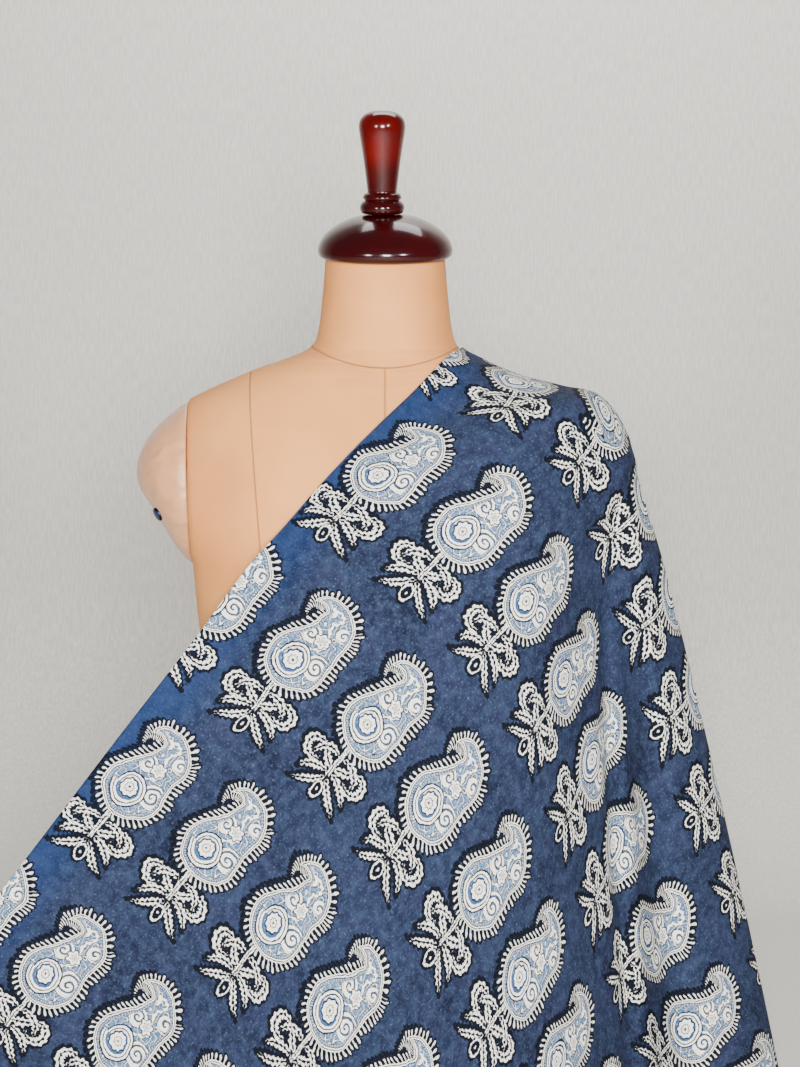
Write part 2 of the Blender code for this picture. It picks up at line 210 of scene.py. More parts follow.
class Graph:
    """A node tree that is built one node at a time."""

    def __init__(self, name: str) -> None:
        """Start an empty material of this name."""
        self.material = bpy.data.materials.new(name)
        self.material.use_nodes = True
        self.tree = self.material.node_tree
        self.tree.nodes.clear()

    def node(self, kind: str, **settings: object) -> bpy.types.Node:
        """Add a node of a kind, with its settings."""
        made = self.tree.nodes.new(kind)
        for key, value in settings.items():
            setattr(made, key, value)
        return made

    def out(self, made: bpy.types.Node, key: int | str = 0) -> Link:
        """One output of a node, the first unless a place or a name is given."""
        return Link(self, made.outputs[key])

    def feed(self, socket: bpy.types.NodeSocket, value: object) -> None:
        """Join a link to an input, or set the input's own value, a colour as an opaque one."""
        if isinstance(value, Link):
            self.tree.links.new(value.socket, socket)
        elif value is not None:
            socket.default_value = (*value, 1.0) if socket.type == "RGBA" else value

    def math(self, operation: str, a: object, b: object = None, c: object = None) -> Link:
        """One Math node.

        Args:
            operation: the Math node's operation.
            a, b, c: its inputs, each a link or a number.

        Returns:
            The result.
        """
        made = self.node("ShaderNodeMath", operation=operation)
        for socket, value in zip(made.inputs, (a, b, c)):
            self.feed(socket, value)
        return self.out(made)

    def least(self, found: Link, *others: object) -> Link:
        """The least of some numbers."""
        for other in others:
            found = self.math("MINIMUM", found, other)
        return found

    def most(self, found: Link, *others: object) -> Link:
        """The greatest of some numbers."""
        for other in others:
            found = self.math("MAXIMUM", found, other)
        return found

    def vector(self, operation: str, a: object, b: object = None) -> Link:
        """One Vector Math node, with its number result where it has one."""
        made = self.node("ShaderNodeVectorMath", operation=operation)
        self.feed(made.inputs[0], a)
        if b is not None:
            self.feed(made.inputs["Scale"] if operation == "SCALE" else made.inputs[1], b)
        numbers = ("LENGTH", "DISTANCE", "DOT_PRODUCT")
        return self.out(made, "Value" if operation in numbers else "Vector")

    def axes(self, place: Link) -> tuple[Link, Link, Link]:
        """Split a place into its x, y and z."""
        made = self.node("ShaderNodeSeparateXYZ")
        self.feed(made.inputs[0], place)
        return self.out(made, 0), self.out(made, 1), self.out(made, 2)

    def joined(self, x: Link, y: Link) -> Link:
        """Join an x and a y into a place."""
        made = self.node("ShaderNodeCombineXYZ")
        self.feed(made.inputs[0], x)
        self.feed(made.inputs[1], y)
        return self.out(made)

    def bearing(self, away: Link) -> Link:
        """Angle of an offset in the x and y plane, in radians."""
        x, y, _ = self.axes(away)
        return self.math("ARCTAN2", y, x)

    def mix(self, share: object, a: object, b: object) -> Link:
        """Mix two colours by a share."""
        made = self.node("ShaderNodeMix", data_type="RGBA")
        for number, value in ((0, share), (6, a), (7, b)):
            self.feed(made.inputs[number], value)
        return self.out(made, 2)

    def noise(self, place: Link, scale: float, detail: float = 2.0, rough: float = 0.5) -> Link:
        """Noise between 0 and 1 at a place."""
        made = self.node("ShaderNodeTexNoise")
        self.feed(made.inputs["Vector"], place)
        for name, value in (("Scale", scale), ("Detail", detail), ("Roughness", rough)):
            made.inputs[name].default_value = value
        return self.out(made, "Fac")

    def spread(self, value: Link, low: float, high: float, to_low: float = 0.0,
               to_high: float = 1.0) -> Link:
        """Map a range smoothly onto another, held at its ends."""
        made = self.node("ShaderNodeMapRange", interpolation_type="SMOOTHSTEP")
        self.feed(made.inputs["Value"], value)
        for name, number in (("From Min", low), ("From Max", high), ("To Min", to_low),
                             ("To Max", to_high)):
            made.inputs[name].default_value = number
        return self.out(made, "Result")

    def bump(self, height: Link, depth: float, strength: float = 1.0, below: object = None) -> Link:
        """Bump from a height between 0 and 1.

        Args:
            height: the height.
            depth: depth of the relief in metres.
            strength: share of it that shows.
            below: an earlier bump that this one lies on.

        Returns:
            The bent normal.
        """
        made = self.node("ShaderNodeBump")
        self.feed(made.inputs["Height"], height)
        self.feed(made.inputs["Normal"], below)
        made.inputs["Distance"].default_value = depth
        made.inputs["Strength"].default_value = strength
        return self.out(made, "Normal")

    def surface(self, colour: object, roughness: object, normal: object = None,
                **levels: object) -> bpy.types.Material:
        """Close the tree with its shader.

        Args:
            colour: a colour or its link.
            roughness: a number or its link.
            normal: the bent normal, if any.
            levels: other inputs of the shader by name, with _ for each space.

        Returns:
            The finished material.
        """
        shader = self.node("ShaderNodeBsdfPrincipled")
        levels.update(Base_Color=colour, Roughness=roughness, Normal=normal)
        for name, value in levels.items():
            self.feed(shader.inputs[name.replace("_", " ")], value)
        out = self.node("ShaderNodeOutputMaterial")
        self.tree.links.new(shader.outputs[0], out.inputs["Surface"])
        return self.material


@dataclass(frozen=True)
class FormCover:
    """Matt tan jersey, seamed round the neck, down the middle and over each bust; in metres."""

    tan: Colour = linear(196, 128, 70)
    light: Colour = linear(214, 146, 84)
    seam: Colour = linear(120, 78, 48)
    neck_z: float = 0.6655
    neck_rise: float = 4.4
    bust_x: float = 0.101
    bust_z: float = 0.521
    bust_lean: float = 0.086
    seam_width: float = 0.0006
    wrinkles: tuple[float, float, float] = (12.0, 12.0, 95.0)

    def build(self) -> bpy.types.Material:
        """Make the material."""
        graph = Graph("form_cover_cloth")
        place = graph.out(graph.node("ShaderNodeTexCoord"), "Object")
        side, _, up = graph.axes(place)
        side = abs(side)
        rise = side * side * self.neck_rise
        above = up - rise - self.neck_z
        bust_foot = self.bust_x - self.bust_lean * self.bust_z
        bust = up * self.bust_lean + bust_foot
        bust = abs(side - bust)
        lower = graph.most(graph.least(side, bust), above)
        seams = graph.least(abs(above), lower)
        stitched = graph.spread(seams, 0.0, 2.0 * self.seam_width, 1.0, 0.0)
        cloud = graph.spread(graph.noise(place, 9.0, 3.0), 0.3, 0.7)
        colour = graph.mix(cloud, self.tan, self.light)
        colour = graph.mix(stitched * 0.55, colour, self.seam)
        wrinkle = graph.noise(graph.vector("MULTIPLY", place, self.wrinkles), 1.0, 2.0)
        near = graph.spread(abs(above), 0.004, 0.045, 1.0, 0.0)
        normal = graph.bump(wrinkle * near, 0.0035, 0.6)
        normal = graph.bump(stitched, -0.0006, 1.0, normal)
        knit = graph.noise(place, 1400.0, 1.0)
        return graph.surface(colour, 0.68, graph.bump(knit, 0.00025, 0.35, normal),
                             Specular_IOR_Level=0.2)


@dataclass(frozen=True)
class PadSatin:
    """Smooth stretched satin of the arm pads, creased where it is drawn in."""

    tan: Colour = linear(190, 136, 96)
    creases: tuple[float, float, float] = (14.0, 30.0, 46.0)

    def build(self) -> bpy.types.Material:
        """Make the material."""
        graph = Graph("pad_satin_cloth")
        place = graph.out(graph.node("ShaderNodeTexCoord"), "Object")
        bent = graph.vector("ADD", graph.vector("MULTIPLY", place, self.creases),
                            graph.vector("SCALE", place, 9.0))
        crease = graph.math("PINGPONG", graph.noise(bent, 0.8, 2.0), 0.5)
        crease = graph.spread(crease, 0.30, 0.5)
        normal = graph.bump(crease, 0.0025, 0.5)
        grain = graph.noise(place, 900.0, 1.0)
        return graph.surface(self.tan, 0.36, graph.bump(grain, 0.0002, 0.15, normal), Sheen_Weight=0.1)


@dataclass(frozen=True)
class CherryLacquer:
    """Glossy dark cherry lacquer of the turned neck, redder up the knob; in metres."""

    dark: Colour = linear(34, 2, 4)
    glow: Colour = linear(92, 5, 3)
    red_from: float = 0.795
    red_full: float = 0.850

    def build(self) -> bpy.types.Material:
        """Make the material."""
        graph = Graph("cherry_lacquer")
        place = graph.out(graph.node("ShaderNodeTexCoord"), "Object")
        grain = graph.spread(graph.noise(place, 22.0, 4.0), 0.35, 0.7, 0.25, 1.0)
        red = graph.spread(graph.axes(place)[2], self.red_from, self.red_full, 0.15, 1.0)
        colour = graph.mix(grain * red, self.dark, self.glow)
        return graph.surface(colour, 0.18, Specular_IOR_Level=0.2, Coat_Weight=0.3, Coat_Roughness=0.04)


@dataclass(frozen=True)
class BluedSteel:
    """Dark blued steel of the pad's bolt."""

    blue: Colour = linear(36, 44, 74)

    def build(self) -> bpy.types.Material:
        """Make the material."""
        graph = Graph("blued_steel_bolt")
        return graph.surface(self.blue, 0.35, Metallic=1.0)


class ClothSide(Enum):
    """The two sides of the printed cloth."""

    FACE = "face"
    REVERSE = "reverse"


class Stroke(NamedTuple):
    """A tapered arc: centre, radius, first and last angle in radians, half width at its middle."""

    x: float
    y: float
    radius: float
    first: float
    last: float
    width: float


class Scroll(NamedTuple):
    """A small spiral: centre, outer radius and turning sense."""

    x: float
    y: float
    radius: float
    sense: float


class Outline(NamedTuple):
    """Where a place lies about the body: distance to its outline, way round the outline, way along
    the spine and offset to the spine's right."""

    dist: Link
    way: Link
    along: Link
    aside: Link


@dataclass(frozen=True)
class Sprig:
    """A leaf on each side of the stem.

    It starts at a share of the stem from the body down, heads out at an angle above level, follows
    an arc that turns down, and may end in a curl that turns back.
    """

    start: float
    heading: float
    bend: float
    length: float
    width: float
    curl: float = 0.0
    curl_length: float = 0.0


@dataclass(frozen=True)
class PaisleyBlock:
    """The printing block: a paisley on a leafy stem, round its rosette, up along the selvedge.

    The paisley is a bulb and a neck on one leaning line, and a hook that winds in as a spiral. What
    fills it is stepped evenly along that spine, on alternate sides. Distances below 0 lie inside.
    """

    bulb: tuple[float, float] = (4.0, 1.0)
    bulb_radius: float = 25.0
    neck_length: float = 36.0
    neck_share: float = 0.62
    neck_from: float = -0.1
    lean: float = math.radians(15)
    hook_radius: float = 17.0
    hook_wind: float = 0.66
    hook_taper: tuple[tuple[float, float], ...] = (
        (-60.0, 0.40), (-12.0, 0.98), (10.0, 0.92), (50.0, 0.66), (90.0, 0.40), (125.0, 0.18),
        (155.0, 0.0), (300.0, -0.8))
    seam: float = math.radians(300)
    blend: float = 4.0
    ray_pitch: float = 4.0
    ray_long: float = 8.2
    ray_short: float = 6.4
    ray_spread: float = 0.34
    ray_lean: float = 0.30
    ray_half: tuple[tuple[float, float], ...] = (
        (-0.2, 0.16), (0.05, 0.13), (0.3, 0.12), (0.6, 0.20), (0.84, 0.18), (0.97, 0.04), (1.2, -0.5))
    long_side: tuple[float, float, float] = (1.0, 0.2, 0.0)
    behind_reach: tuple[float, float] = (4.2, 0.6)
    behind_shift: float = 0.08
    behind_wider: float = 0.36
    cap_radius: float = 25.0
    hook_reach: float = 24.0
    scroll_count: int = 5
    scroll_from: float = 7.0
    scroll_step: float = 16.0
    scroll_pitch: float = 4.4
    scroll_offset: float = 0.56
    scroll_share: float = 0.40
    bloom_at: float = 25.0
    bloom_radius: float = 5.6
    stem_x: float = 0.0
    stem_half: float = 0.95
    stem_line: float = 0.62
    foot_y: float = -52.0
    sprigs: tuple[Sprig, ...] = (
        Sprig(0.42, 36.0, 13.0, 29.0, 2.8),
        Sprig(0.78, 14.0, -26.0, 17.0, 3.3, -8.0, 42.0),
        Sprig(0.94, 10.0, 22.0, 29.0, 3.0),
        Sprig(1.02, -54.0, -70.0, 31.0, 2.8),
    )
    bead: float = 4.2
    bead_depth: float = 0.6
    slit: float = 0.72
    slit_depth: float = 0.4
    slimness: float = 4.0
    bud_drop: float = 14.0
    bud_radius: float = 7.0
    bud_rim: float = 1.0
    bud_seed: float = 1.5
    bud_slim: float = 1.7

    def spine(self, along: float) -> tuple[Vector, Vector, float]:
        """One place on the spine.

        Args:
            along: length from the bulb's centre.

        Returns:
            The point, the direction to its right, and the half width of the body there.
        """
        up = Vector((math.sin(self.lean), math.cos(self.lean)))
        right = Vector((up.y, -up.x))
        start = Vector(self.bulb)
        neck = self.bulb_radius * self.neck_share
        if along <= self.neck_length:
            share = float(ease(self.neck_from, 1.0, along / self.neck_length))
            return start + up * along, right, self.bulb_radius + (neck - self.bulb_radius) * share
        turn = (along - self.neck_length) / self.hook_radius
        centre = start + up * self.neck_length - right * self.hook_radius
        out = Vector((math.cos(turn - self.lean), math.sin(turn - self.lean)))
        radius = self.hook_radius * (1.0 - self.hook_wind * turn / (2.0 * math.pi))
        places, shares = zip(*self.hook_taper)
        return centre + out * radius, out, neck * float(np.interp(math.degrees(turn), places, shares))

    def scrolls(self) -> list[Scroll]:
        """The scrolls, stepped along the spine on alternate sides."""
        found = []
        for number in range(self.scroll_count):
            point, right, width = self.spine(self.scroll_from + number * self.scroll_step)
            side = 1.0 - 2.0 * (number % 2)
            place = point + right * (side * self.scroll_offset * width)
            found.append(Scroll(place.x, place.y, self.scroll_share * width, side))
        return found

    def leaves(self) -> list[Stroke]:
        """The arcs of the sprigs, on the stem's right."""
        found = []
        top = self.bulb[1] - self.bulb_radius
        for sprig in self.sprigs:
            heading = math.radians(sprig.heading)
            x, y = 0.0, top + (self.foot_y - top) * sprig.start
            for bend, length in ((sprig.bend, sprig.length), (-sprig.curl, sprig.curl_length)):
                if not length:
                    continue
                turn = length / bend
                x, y = x + bend * math.sin(heading), y - bend * math.cos(heading)
                first = heading + math.copysign(0.5 * math.pi, bend)
                ends = sorted((first, first - turn))
                width = min(sprig.width, length / self.slimness)
                found.append(Stroke(x, y, abs(bend), *ends, width))
                x, y = x + abs(bend) * math.cos(first - turn), y + abs(bend) * math.sin(first - turn)
                heading -= turn
        return found

    def curve(self, graph: Graph, value: Link, points: tuple[tuple[float, float], ...]) -> Link:
        """Read a smooth curve through points at a value.

        Args:
            graph: the tree to build in.
            value: where to read.
            points: value and result pairs, in growing order.

        Returns:
            The result.
        """
        low, high = points[0][0], points[-1][0]
        least = min(result for _, result in points)
        most = max(result for _, result in points)
        share = (value - low) / (high - low)
        made = graph.node("ShaderNodeFloatCurve")
        line = made.mapping.curves[0]
        spots = [((x - low) / (high - low), (y - least) / (most - least)) for x, y in points]
        for spot, place in zip(line.points, (spots[0], spots[-1])):
            spot.location = place
        for place in spots[1:-1]:
            line.points.new(*place)
        made.mapping.update()
        graph.feed(made.inputs["Value"], share)
        return graph.out(made, "Value") * (most - least) + least

    def stroke(self, graph: Graph, place: Link, arc: Stroke) -> Link:
        """Distance to a tapered arc with a notched edge and a slit down its middle."""
        middle, half = 0.5 * (arc.first + arc.last), 0.5 * (arc.last - arc.first)
        away = graph.vector("SUBTRACT", place, (arc.x, arc.y, 0.0))
        ahead = graph.vector("DOT_PRODUCT", away, (math.cos(middle), math.sin(middle), 0.0))
        aside = graph.vector("DOT_PRODUCT", away, (-math.sin(middle), math.cos(middle), 0.0))
        turn = graph.math("ARCTAN2", aside, ahead)
        square = turn * turn
        width = square * (-arc.width / half ** 2) + arc.width
        off = abs(graph.vector("LENGTH", away) - arc.radius)
        beat = graph.math("SINE", turn * (2.0 * math.pi * arc.radius / self.bead))
        width = beat * self.bead_depth + width
        slit = beat * self.slit_depth + self.slit
        return graph.most(off - width, slit - off)

    def scroll(self, graph: Graph, place: Link, spiral: Scroll) -> tuple[Link, Link]:
        """Distance to a spiral's line, and to its whole disc."""
        away = graph.vector("SUBTRACT", place, (spiral.x, spiral.y, 0.0))
        reach = graph.vector("LENGTH", away)
        share = graph.bearing(away) * (spiral.sense / (2.0 * math.pi))
        wound = reach / self.scroll_pitch + share
        wave = graph.math("PINGPONG", wound, 0.5)
        line = wave * -self.scroll_pitch + 0.2 * self.scroll_pitch
        disc = reach - spiral.radius
        return graph.most(line, disc), disc

    def body(self, graph: Graph, place: Link) -> Outline:
        """Find a place, in millimetres on the block, about the paisley's body."""
        start, span = Vector(self.bulb).to_3d(), self.neck_length
        right = self.spine(0.0)[1].to_3d()
        up = Vector((-right.y, right.x, 0.0))
        neck = self.bulb_radius * self.neck_share
        away = graph.vector("SUBTRACT", place, tuple(start))
        share = graph.vector("DOT_PRODUCT", away, tuple(up)) / span
        held = graph.node("ShaderNodeClamp")
        graph.feed(held.inputs[0], share)
        share = graph.out(held)
        climbed = share * span
        spoke = graph.vector("SUBTRACT", away, graph.vector("SCALE", tuple(up), climbed))
        width = graph.spread(share, self.neck_from, 1.0, self.bulb_radius, neck)
        line = graph.vector("LENGTH", spoke) - width
        aside = graph.vector("DOT_PRODUCT", spoke, tuple(right))
        ahead = graph.vector("DOT_PRODUCT", spoke, tuple(up))
        turn = graph.math("ARCTAN2", ahead, abs(aside))
        climb = turn * self.cap_radius + climbed
        line_way = climb * graph.math("SIGN", aside)

        centre = start + up * span - right * self.hook_radius
        bend = graph.vector("SUBTRACT", place, tuple(centre))
        shift = math.pi - self.seam + self.lean
        ahead = graph.vector("DOT_PRODUCT", bend, (math.cos(shift), -math.sin(shift), 0.0))
        across = graph.vector("DOT_PRODUCT", bend, (math.sin(shift), math.cos(shift), 0.0))
        turn = graph.math("ARCTAN2", across, ahead) - (shift - self.lean)
        radius = turn * (-self.hook_radius * self.hook_wind / (2.0 * math.pi)) + self.hook_radius
        off = graph.vector("LENGTH", bend) - radius
        taper = self.curve(graph, turn * (180.0 / math.pi), self.hook_taper)
        arc = abs(off) - taper * neck
        arc_way = turn * self.hook_reach + span

        on_arc = graph.math("LESS_THAN", arc, line)

        def chosen(first: Link, other: Link) -> Link:
            """Take the first, or the other where the place lies nearer the hook."""
            gap = other - first
            return gap * on_arc + first

        return Outline(graph.math("SMOOTH_MIN", line, arc, self.blend), chosen(line_way, arc_way),
                       chosen(climbed, arc_way), chosen(aside, off))

    def tuft(self, graph: Graph, place: Link) -> Link:
        """Distance to the stem, its sprigs and its bud, the same on both sides."""
        x, y, _ = graph.axes(place)
        side = abs(x - self.stem_x)
        both = graph.joined(side, y)
        top = self.bulb[1] - self.bulb_radius
        tall = abs(y - 0.5 * (top + self.foot_y))
        tall = tall - 0.5 * (top - self.foot_y)
        stem = abs(side - self.stem_half)
        found = graph.most(stem - self.stem_line, tall)
        for leaf in self.leaves():
            found = graph.least(found, self.stroke(graph, both, leaf))
        reach = graph.vector("DISTANCE", graph.vector("MULTIPLY", both, (self.bud_slim, 1.0, 0.0)),
                             (0.0, self.foot_y - self.bud_drop, 0.0))
        bud = abs(reach - self.bud_radius)
        bud = graph.least(bud - self.bud_rim, reach - self.bud_seed)
        return graph.least(found, bud)


@dataclass(frozen=True)
class PrintedCotton:
    """Indigo cotton printed with half-dropped rows of paisleys along the selvedge."""

    block: PaisleyBlock = PaisleyBlock()
    row_step: float = 163.0
    column_step: float = 76.0
    first_column: float = -9.0
    block_middle: float = -8.0
    indigo: Colour = linear(27, 36, 58)
    washed: Colour = linear(51, 64, 90)
    deep: Colour = linear(13, 18, 38)
    violet: Colour = linear(32, 34, 60)
    # painted light: the brighter blue laid along the selvedge edge
    painted_edge_light: Colour = linear(22, 50, 96)
    navy: Colour = linear(4, 6, 12)
    cream: Colour = linear(236, 232, 220)
    worn: Colour = linear(190, 192, 190)
    pale: Colour = linear(104, 132, 158)
    middle: Colour = linear(52, 80, 118)
    line: Colour = linear(16, 24, 44)
    fleck: Colour = linear(150, 170, 190)
    shade_shift: tuple[float, float, float] = (1.2, -0.3, 0.0)
    body_shade: float = 4.4
    tuft_shade: float = 2.4
    vine_swing: float = 6.0
    vine_length: float = 130.0
    leaf_step: float = 5.5
    vine_half: float = 1.2
    leaf_half: float = 0.7
    rim_width: float = 4.2

    def ramp(self, graph: Graph, value: Link, low: float, high: float,
             stops: tuple[tuple[float, Colour, float], ...]) -> tuple[Link, Link]:
        """Colour and cover in steps along a value.

        Args:
            graph: the tree to build in.
            value: what is stepped.
            low, high: its range.
            stops: value, colour and cover of each step.

        Returns:
            The colour and the cover.
        """
        share = (value - low) / (high - low)
        made = graph.node("ShaderNodeValToRGB")
        steps = made.color_ramp.elements
        spots = [((at - low) / (high - low), (*colour, cover)) for at, colour, cover in stops]
        for step, (at, colour) in zip((steps[0], steps[1]), (spots[0], spots[-1])):
            step.position = at
            step.color = colour
        for at, colour in spots[1:-1]:
            step = steps.new(at)
            step.color = colour
        graph.feed(made.inputs[0], share)
        return graph.out(made, "Color"), graph.out(made, "Alpha")

    def lattice(self, graph: Graph, flat: Link) -> Link:
        """Place on the block, from the place on the flat cloth, both in millimetres."""
        up, across, _ = graph.axes(flat)
        row = graph.math("FLOOR", (up - self.block_middle) / self.row_step + 0.5)
        odd = graph.math("FLOORED_MODULO", row, 2.0)
        across = odd * (-0.5 * self.column_step) + across
        across = across - self.first_column
        column = graph.math("FLOOR", across / self.column_step + 0.5)
        return graph.joined(column * -self.column_step + across, row * -self.row_step + up)

    def wobble(self, graph: Graph, cut: Link, scale: float, reach: float) -> Link:
        """A small push in a random direction, as an uneven block and pen give."""
        made = graph.node("ShaderNodeTexNoise")
        graph.feed(made.inputs["Vector"], cut)
        made.inputs["Scale"].default_value = scale
        made.inputs["Detail"].default_value = 1.0
        push = graph.vector("SUBTRACT", graph.out(made, "Color"), (0.5, 0.5, 0.5))
        return graph.vector("SCALE", push, reach)

    def mask(self, graph: Graph, distance: Link, edge: float = 0.0, soft: float = 0.28) -> Link:
        """Turn a distance into cover, full inside."""
        return graph.spread(distance, edge - soft, edge + soft, 1.0, 0.0)

    def rays(self, graph: Graph, place: Link, body: Outline) -> tuple[Link, Link]:
        """Distance to the fringe of rays round the body, and to the darker rays behind them."""
        block = self.block
        steps = body.way / block.ray_pitch
        steps = body.dist * (-block.ray_lean / block.ray_pitch) + steps
        number = graph.math("FLOOR", steps)
        chance = graph.node("ShaderNodeTexWhiteNoise", noise_dimensions="1D")
        graph.feed(chance.inputs["W"], number)
        rough = graph.out(chance, "Value") * block.ray_spread + (1.0 - block.ray_spread)
        side = graph.vector("DOT_PRODUCT", place, block.long_side)
        length = graph.spread(side, -14.0, 10.0, block.ray_short, block.ray_long)
        length = length * rough
        beyond = graph.spread(side, -12.0, 8.0, *block.behind_reach)
        farther = body.dist - beyond
        aside = steps - number - 0.5
        found = []
        for reach, shift, more in ((body.dist, 0.0, 0.0),
                                   (farther, block.behind_shift, block.behind_wider)):
            width = block.curve(graph, reach / length, block.ray_half)
            away = abs(aside - shift)
            away = away - width - more
            found.append(away * block.ray_pitch)
        return found[0], found[1]

    def rosette(self, graph: Graph, place: Link, base: Link) -> Link:
        """The rosette in the bulb, over what lies under it."""
        oval = graph.vector("MULTIPLY", place, (0.96, 0.80, 0.0))
        turn = graph.bearing(oval)
        petal = graph.math("SINE", turn * 9.0)
        reach = graph.vector("LENGTH", oval)
        drift = turn * (3.4 / (2.0 * math.pi)) + reach
        ragged = petal * 0.4 + reach
        cream, navy, blue, line = self.cream, self.navy, self.middle, self.line
        inner, shown = self.ramp(graph, ragged, 0.0, 8.0, (
            (0.0, navy, 1.0), (0.9, navy, 1.0), (1.1, cream, 1.0), (2.5, cream, 1.0),
            (2.7, line, 1.0), (3.2, line, 1.0), (3.4, cream, 1.0), (5.9, cream, 1.0),
            (6.1, line, 1.0), (6.8, line, 1.0), (7.1, blue, 1.0), (8.0, blue, 0.0)))
        outer, edge = self.ramp(graph, drift, 6.0, 14.0, (
            (6.0, blue, 0.0), (7.0, blue, 1.0), (8.0, blue, 1.0), (8.2, cream, 1.0),
            (9.6, cream, 1.0), (9.8, line, 1.0), (10.5, line, 1.0), (10.7, cream, 1.0),
            (11.9, cream, 1.0), (12.1, line, 1.0), (12.9, line, 1.0), (13.2, line, 0.0),
            (14.0, line, 0.0)))
        base = graph.mix(edge, base, outer)
        return graph.mix(shown, base, inner)

    def bloom(self, graph: Graph, place: Link, base: Link) -> Link:
        """The small flower in the neck, over what lies under it."""
        x, y = self.block.spine(self.block.bloom_at)[0]
        radius = self.block.bloom_radius
        away = graph.vector("SUBTRACT", place, (x, y, 0.0))
        petal = graph.math("SINE", graph.bearing(away) * 6.0)
        reach = petal * 0.9 + graph.vector("LENGTH", away)
        cream, navy, line = self.cream, self.navy, self.line
        colour, shown = self.ramp(graph, reach, 0.0, radius + 1.0, (
            (0.0, navy, 1.0), (0.6, navy, 1.0), (0.9, cream, 1.0), (2.0, cream, 1.0),
            (2.2, line, 1.0), (2.8, line, 1.0), (3.0, cream, 1.0), (radius - 0.4, cream, 1.0),
            (radius - 0.1, line, 1.0), (radius + 0.6, line, 1.0), (radius + 1.0, line, 0.0)))
        return graph.mix(shown, base, colour)

    def rim(self, graph: Graph, body: Outline, base: Link) -> Link:
        """The ruled and ticked border inside the body's outline, over what lies under it."""
        cream, navy, line = self.cream, self.navy, self.line
        beat = graph.math("PINGPONG", body.way, 1.15)
        tick = graph.mix(graph.spread(beat, 0.45, 0.7), self.middle, self.worn)
        rules, shown = self.ramp(graph, body.dist, -5.0, 1.0, (
            (-5.0, line, 0.0), (-4.7, line, 0.8), (-4.3, line, 0.0), (-2.9, line, 0.0),
            (-2.7, line, 1.0), (-2.2, line, 1.0), (-2.1, cream, 1.0), (-1.3, cream, 1.0),
            (-1.2, navy, 1.0), (-0.6, navy, 1.0), (-0.5, cream, 1.0), (1.0, cream, 1.0)))
        ticked = self.mask(graph, abs(body.dist + 3.6), 0.7)
        colour = graph.mix(ticked * 0.6, base, tick)
        return graph.mix(shown, colour, rules)

    def vine(self, graph: Graph, body: Outline) -> Link:
        """Distance to the leafy vine that winds from side to side up the spine."""
        block = self.block
        wave = (body.along - block.scroll_from) * (math.pi / block.scroll_step)
        swing = (1.0 - body.along / self.vine_length) * self.vine_swing
        off = graph.math("COSINE", wave) * swing + body.aside
        off = abs(off)
        leafy = graph.math("SINE", body.along * (2.0 * math.pi / self.leaf_step))
        half = leafy * self.leaf_half + self.vine_half
        return off - half

    def drawing(self, graph: Graph, place: Link, body: Outline) -> Link:
        """Distance to the lines that fill the body: ringed scrolls, the vine and fine veins."""
        scrolls = [self.block.scroll(graph, place, spiral) for spiral in self.block.scrolls()]
        lines, discs = (graph.least(*found) for found in zip(*scrolls))
        veins = graph.math("PINGPONG", graph.noise(place, 0.075, 1.0) * 8.0, 0.5)
        veins = veins * 7.5 - 0.5
        drawn = graph.least(self.vine(graph, body), veins)
        drawn = graph.most(drawn, 0.3 - discs)
        lines = graph.least(lines, drawn)
        ring = abs(discs - 0.2) - 0.6
        lines = graph.least(lines, ring)
        return graph.most(lines, body.dist + self.rim_width)

    def inside(self, graph: Graph, place: Link, body: Outline, fine: Link) -> Link:
        """Colour inside the paisley: pale ground, drawn lines, flower, rosette and rim.

        Args:
            graph: the tree to build in.
            place: place on the block.
            body: the place about the body's outline.
            fine: fine noise of the dye.

        Returns:
            The colour.
        """
        lines = self.drawing(graph, place, body)
        speck = graph.spread(fine, 0.58, 0.64)
        fill = graph.mix(graph.spread(fine, 0.30, 0.66), self.middle, self.pale)
        colour = graph.mix(speck * 0.2, fill, self.cream)
        colour = graph.mix(self.mask(graph, lines, 0.75), colour, self.line)
        colour = graph.mix(self.mask(graph, lines), colour, self.cream)
        colour = self.bloom(graph, place, colour)
        colour = self.rosette(graph, place, colour)
        return self.rim(graph, body, colour)

    def ground(self, graph: Graph, cut: Link, flat: Link, fine: Link) -> Link:
        """Colour of the indigo ground, cloudy, mottled and flecked, with a brighter blue band of
        painted light along the selvedge.

        Args:
            graph: the tree to build in.
            cut: place on the flat cloth in metres.
            flat: the same in millimetres, as the print lies.
            fine: fine noise of the dye.

        Returns:
            The colour.
        """
        cloud = graph.noise(cut, 14.0, 4.0, 0.65)
        mottle = graph.noise(cut, 120.0, 4.0, 0.7)
        tint = graph.spread(graph.noise(cut, 31.0, 2.0), 0.42, 0.68)
        colour = graph.mix(graph.spread(cloud, 0.34, 0.66), self.deep, self.indigo)
        colour = graph.mix(tint * 0.55, colour, self.violet)
        colour = graph.mix(graph.spread(mottle, 0.34, 0.78, 0.0, 0.75), colour, self.washed)
        colour = graph.mix(graph.spread(fine, 0.54, 0.82, 0.0, 0.2), colour, self.fleck)
        # painted light: a brighter blue band fading in from the selvedge, standing in for light on the
        # turned edge
        selvedge = graph.spread(graph.axes(flat)[1], 5.0, 50.0, 0.45, 0.0)
        return graph.mix(selvedge, colour, self.painted_edge_light)

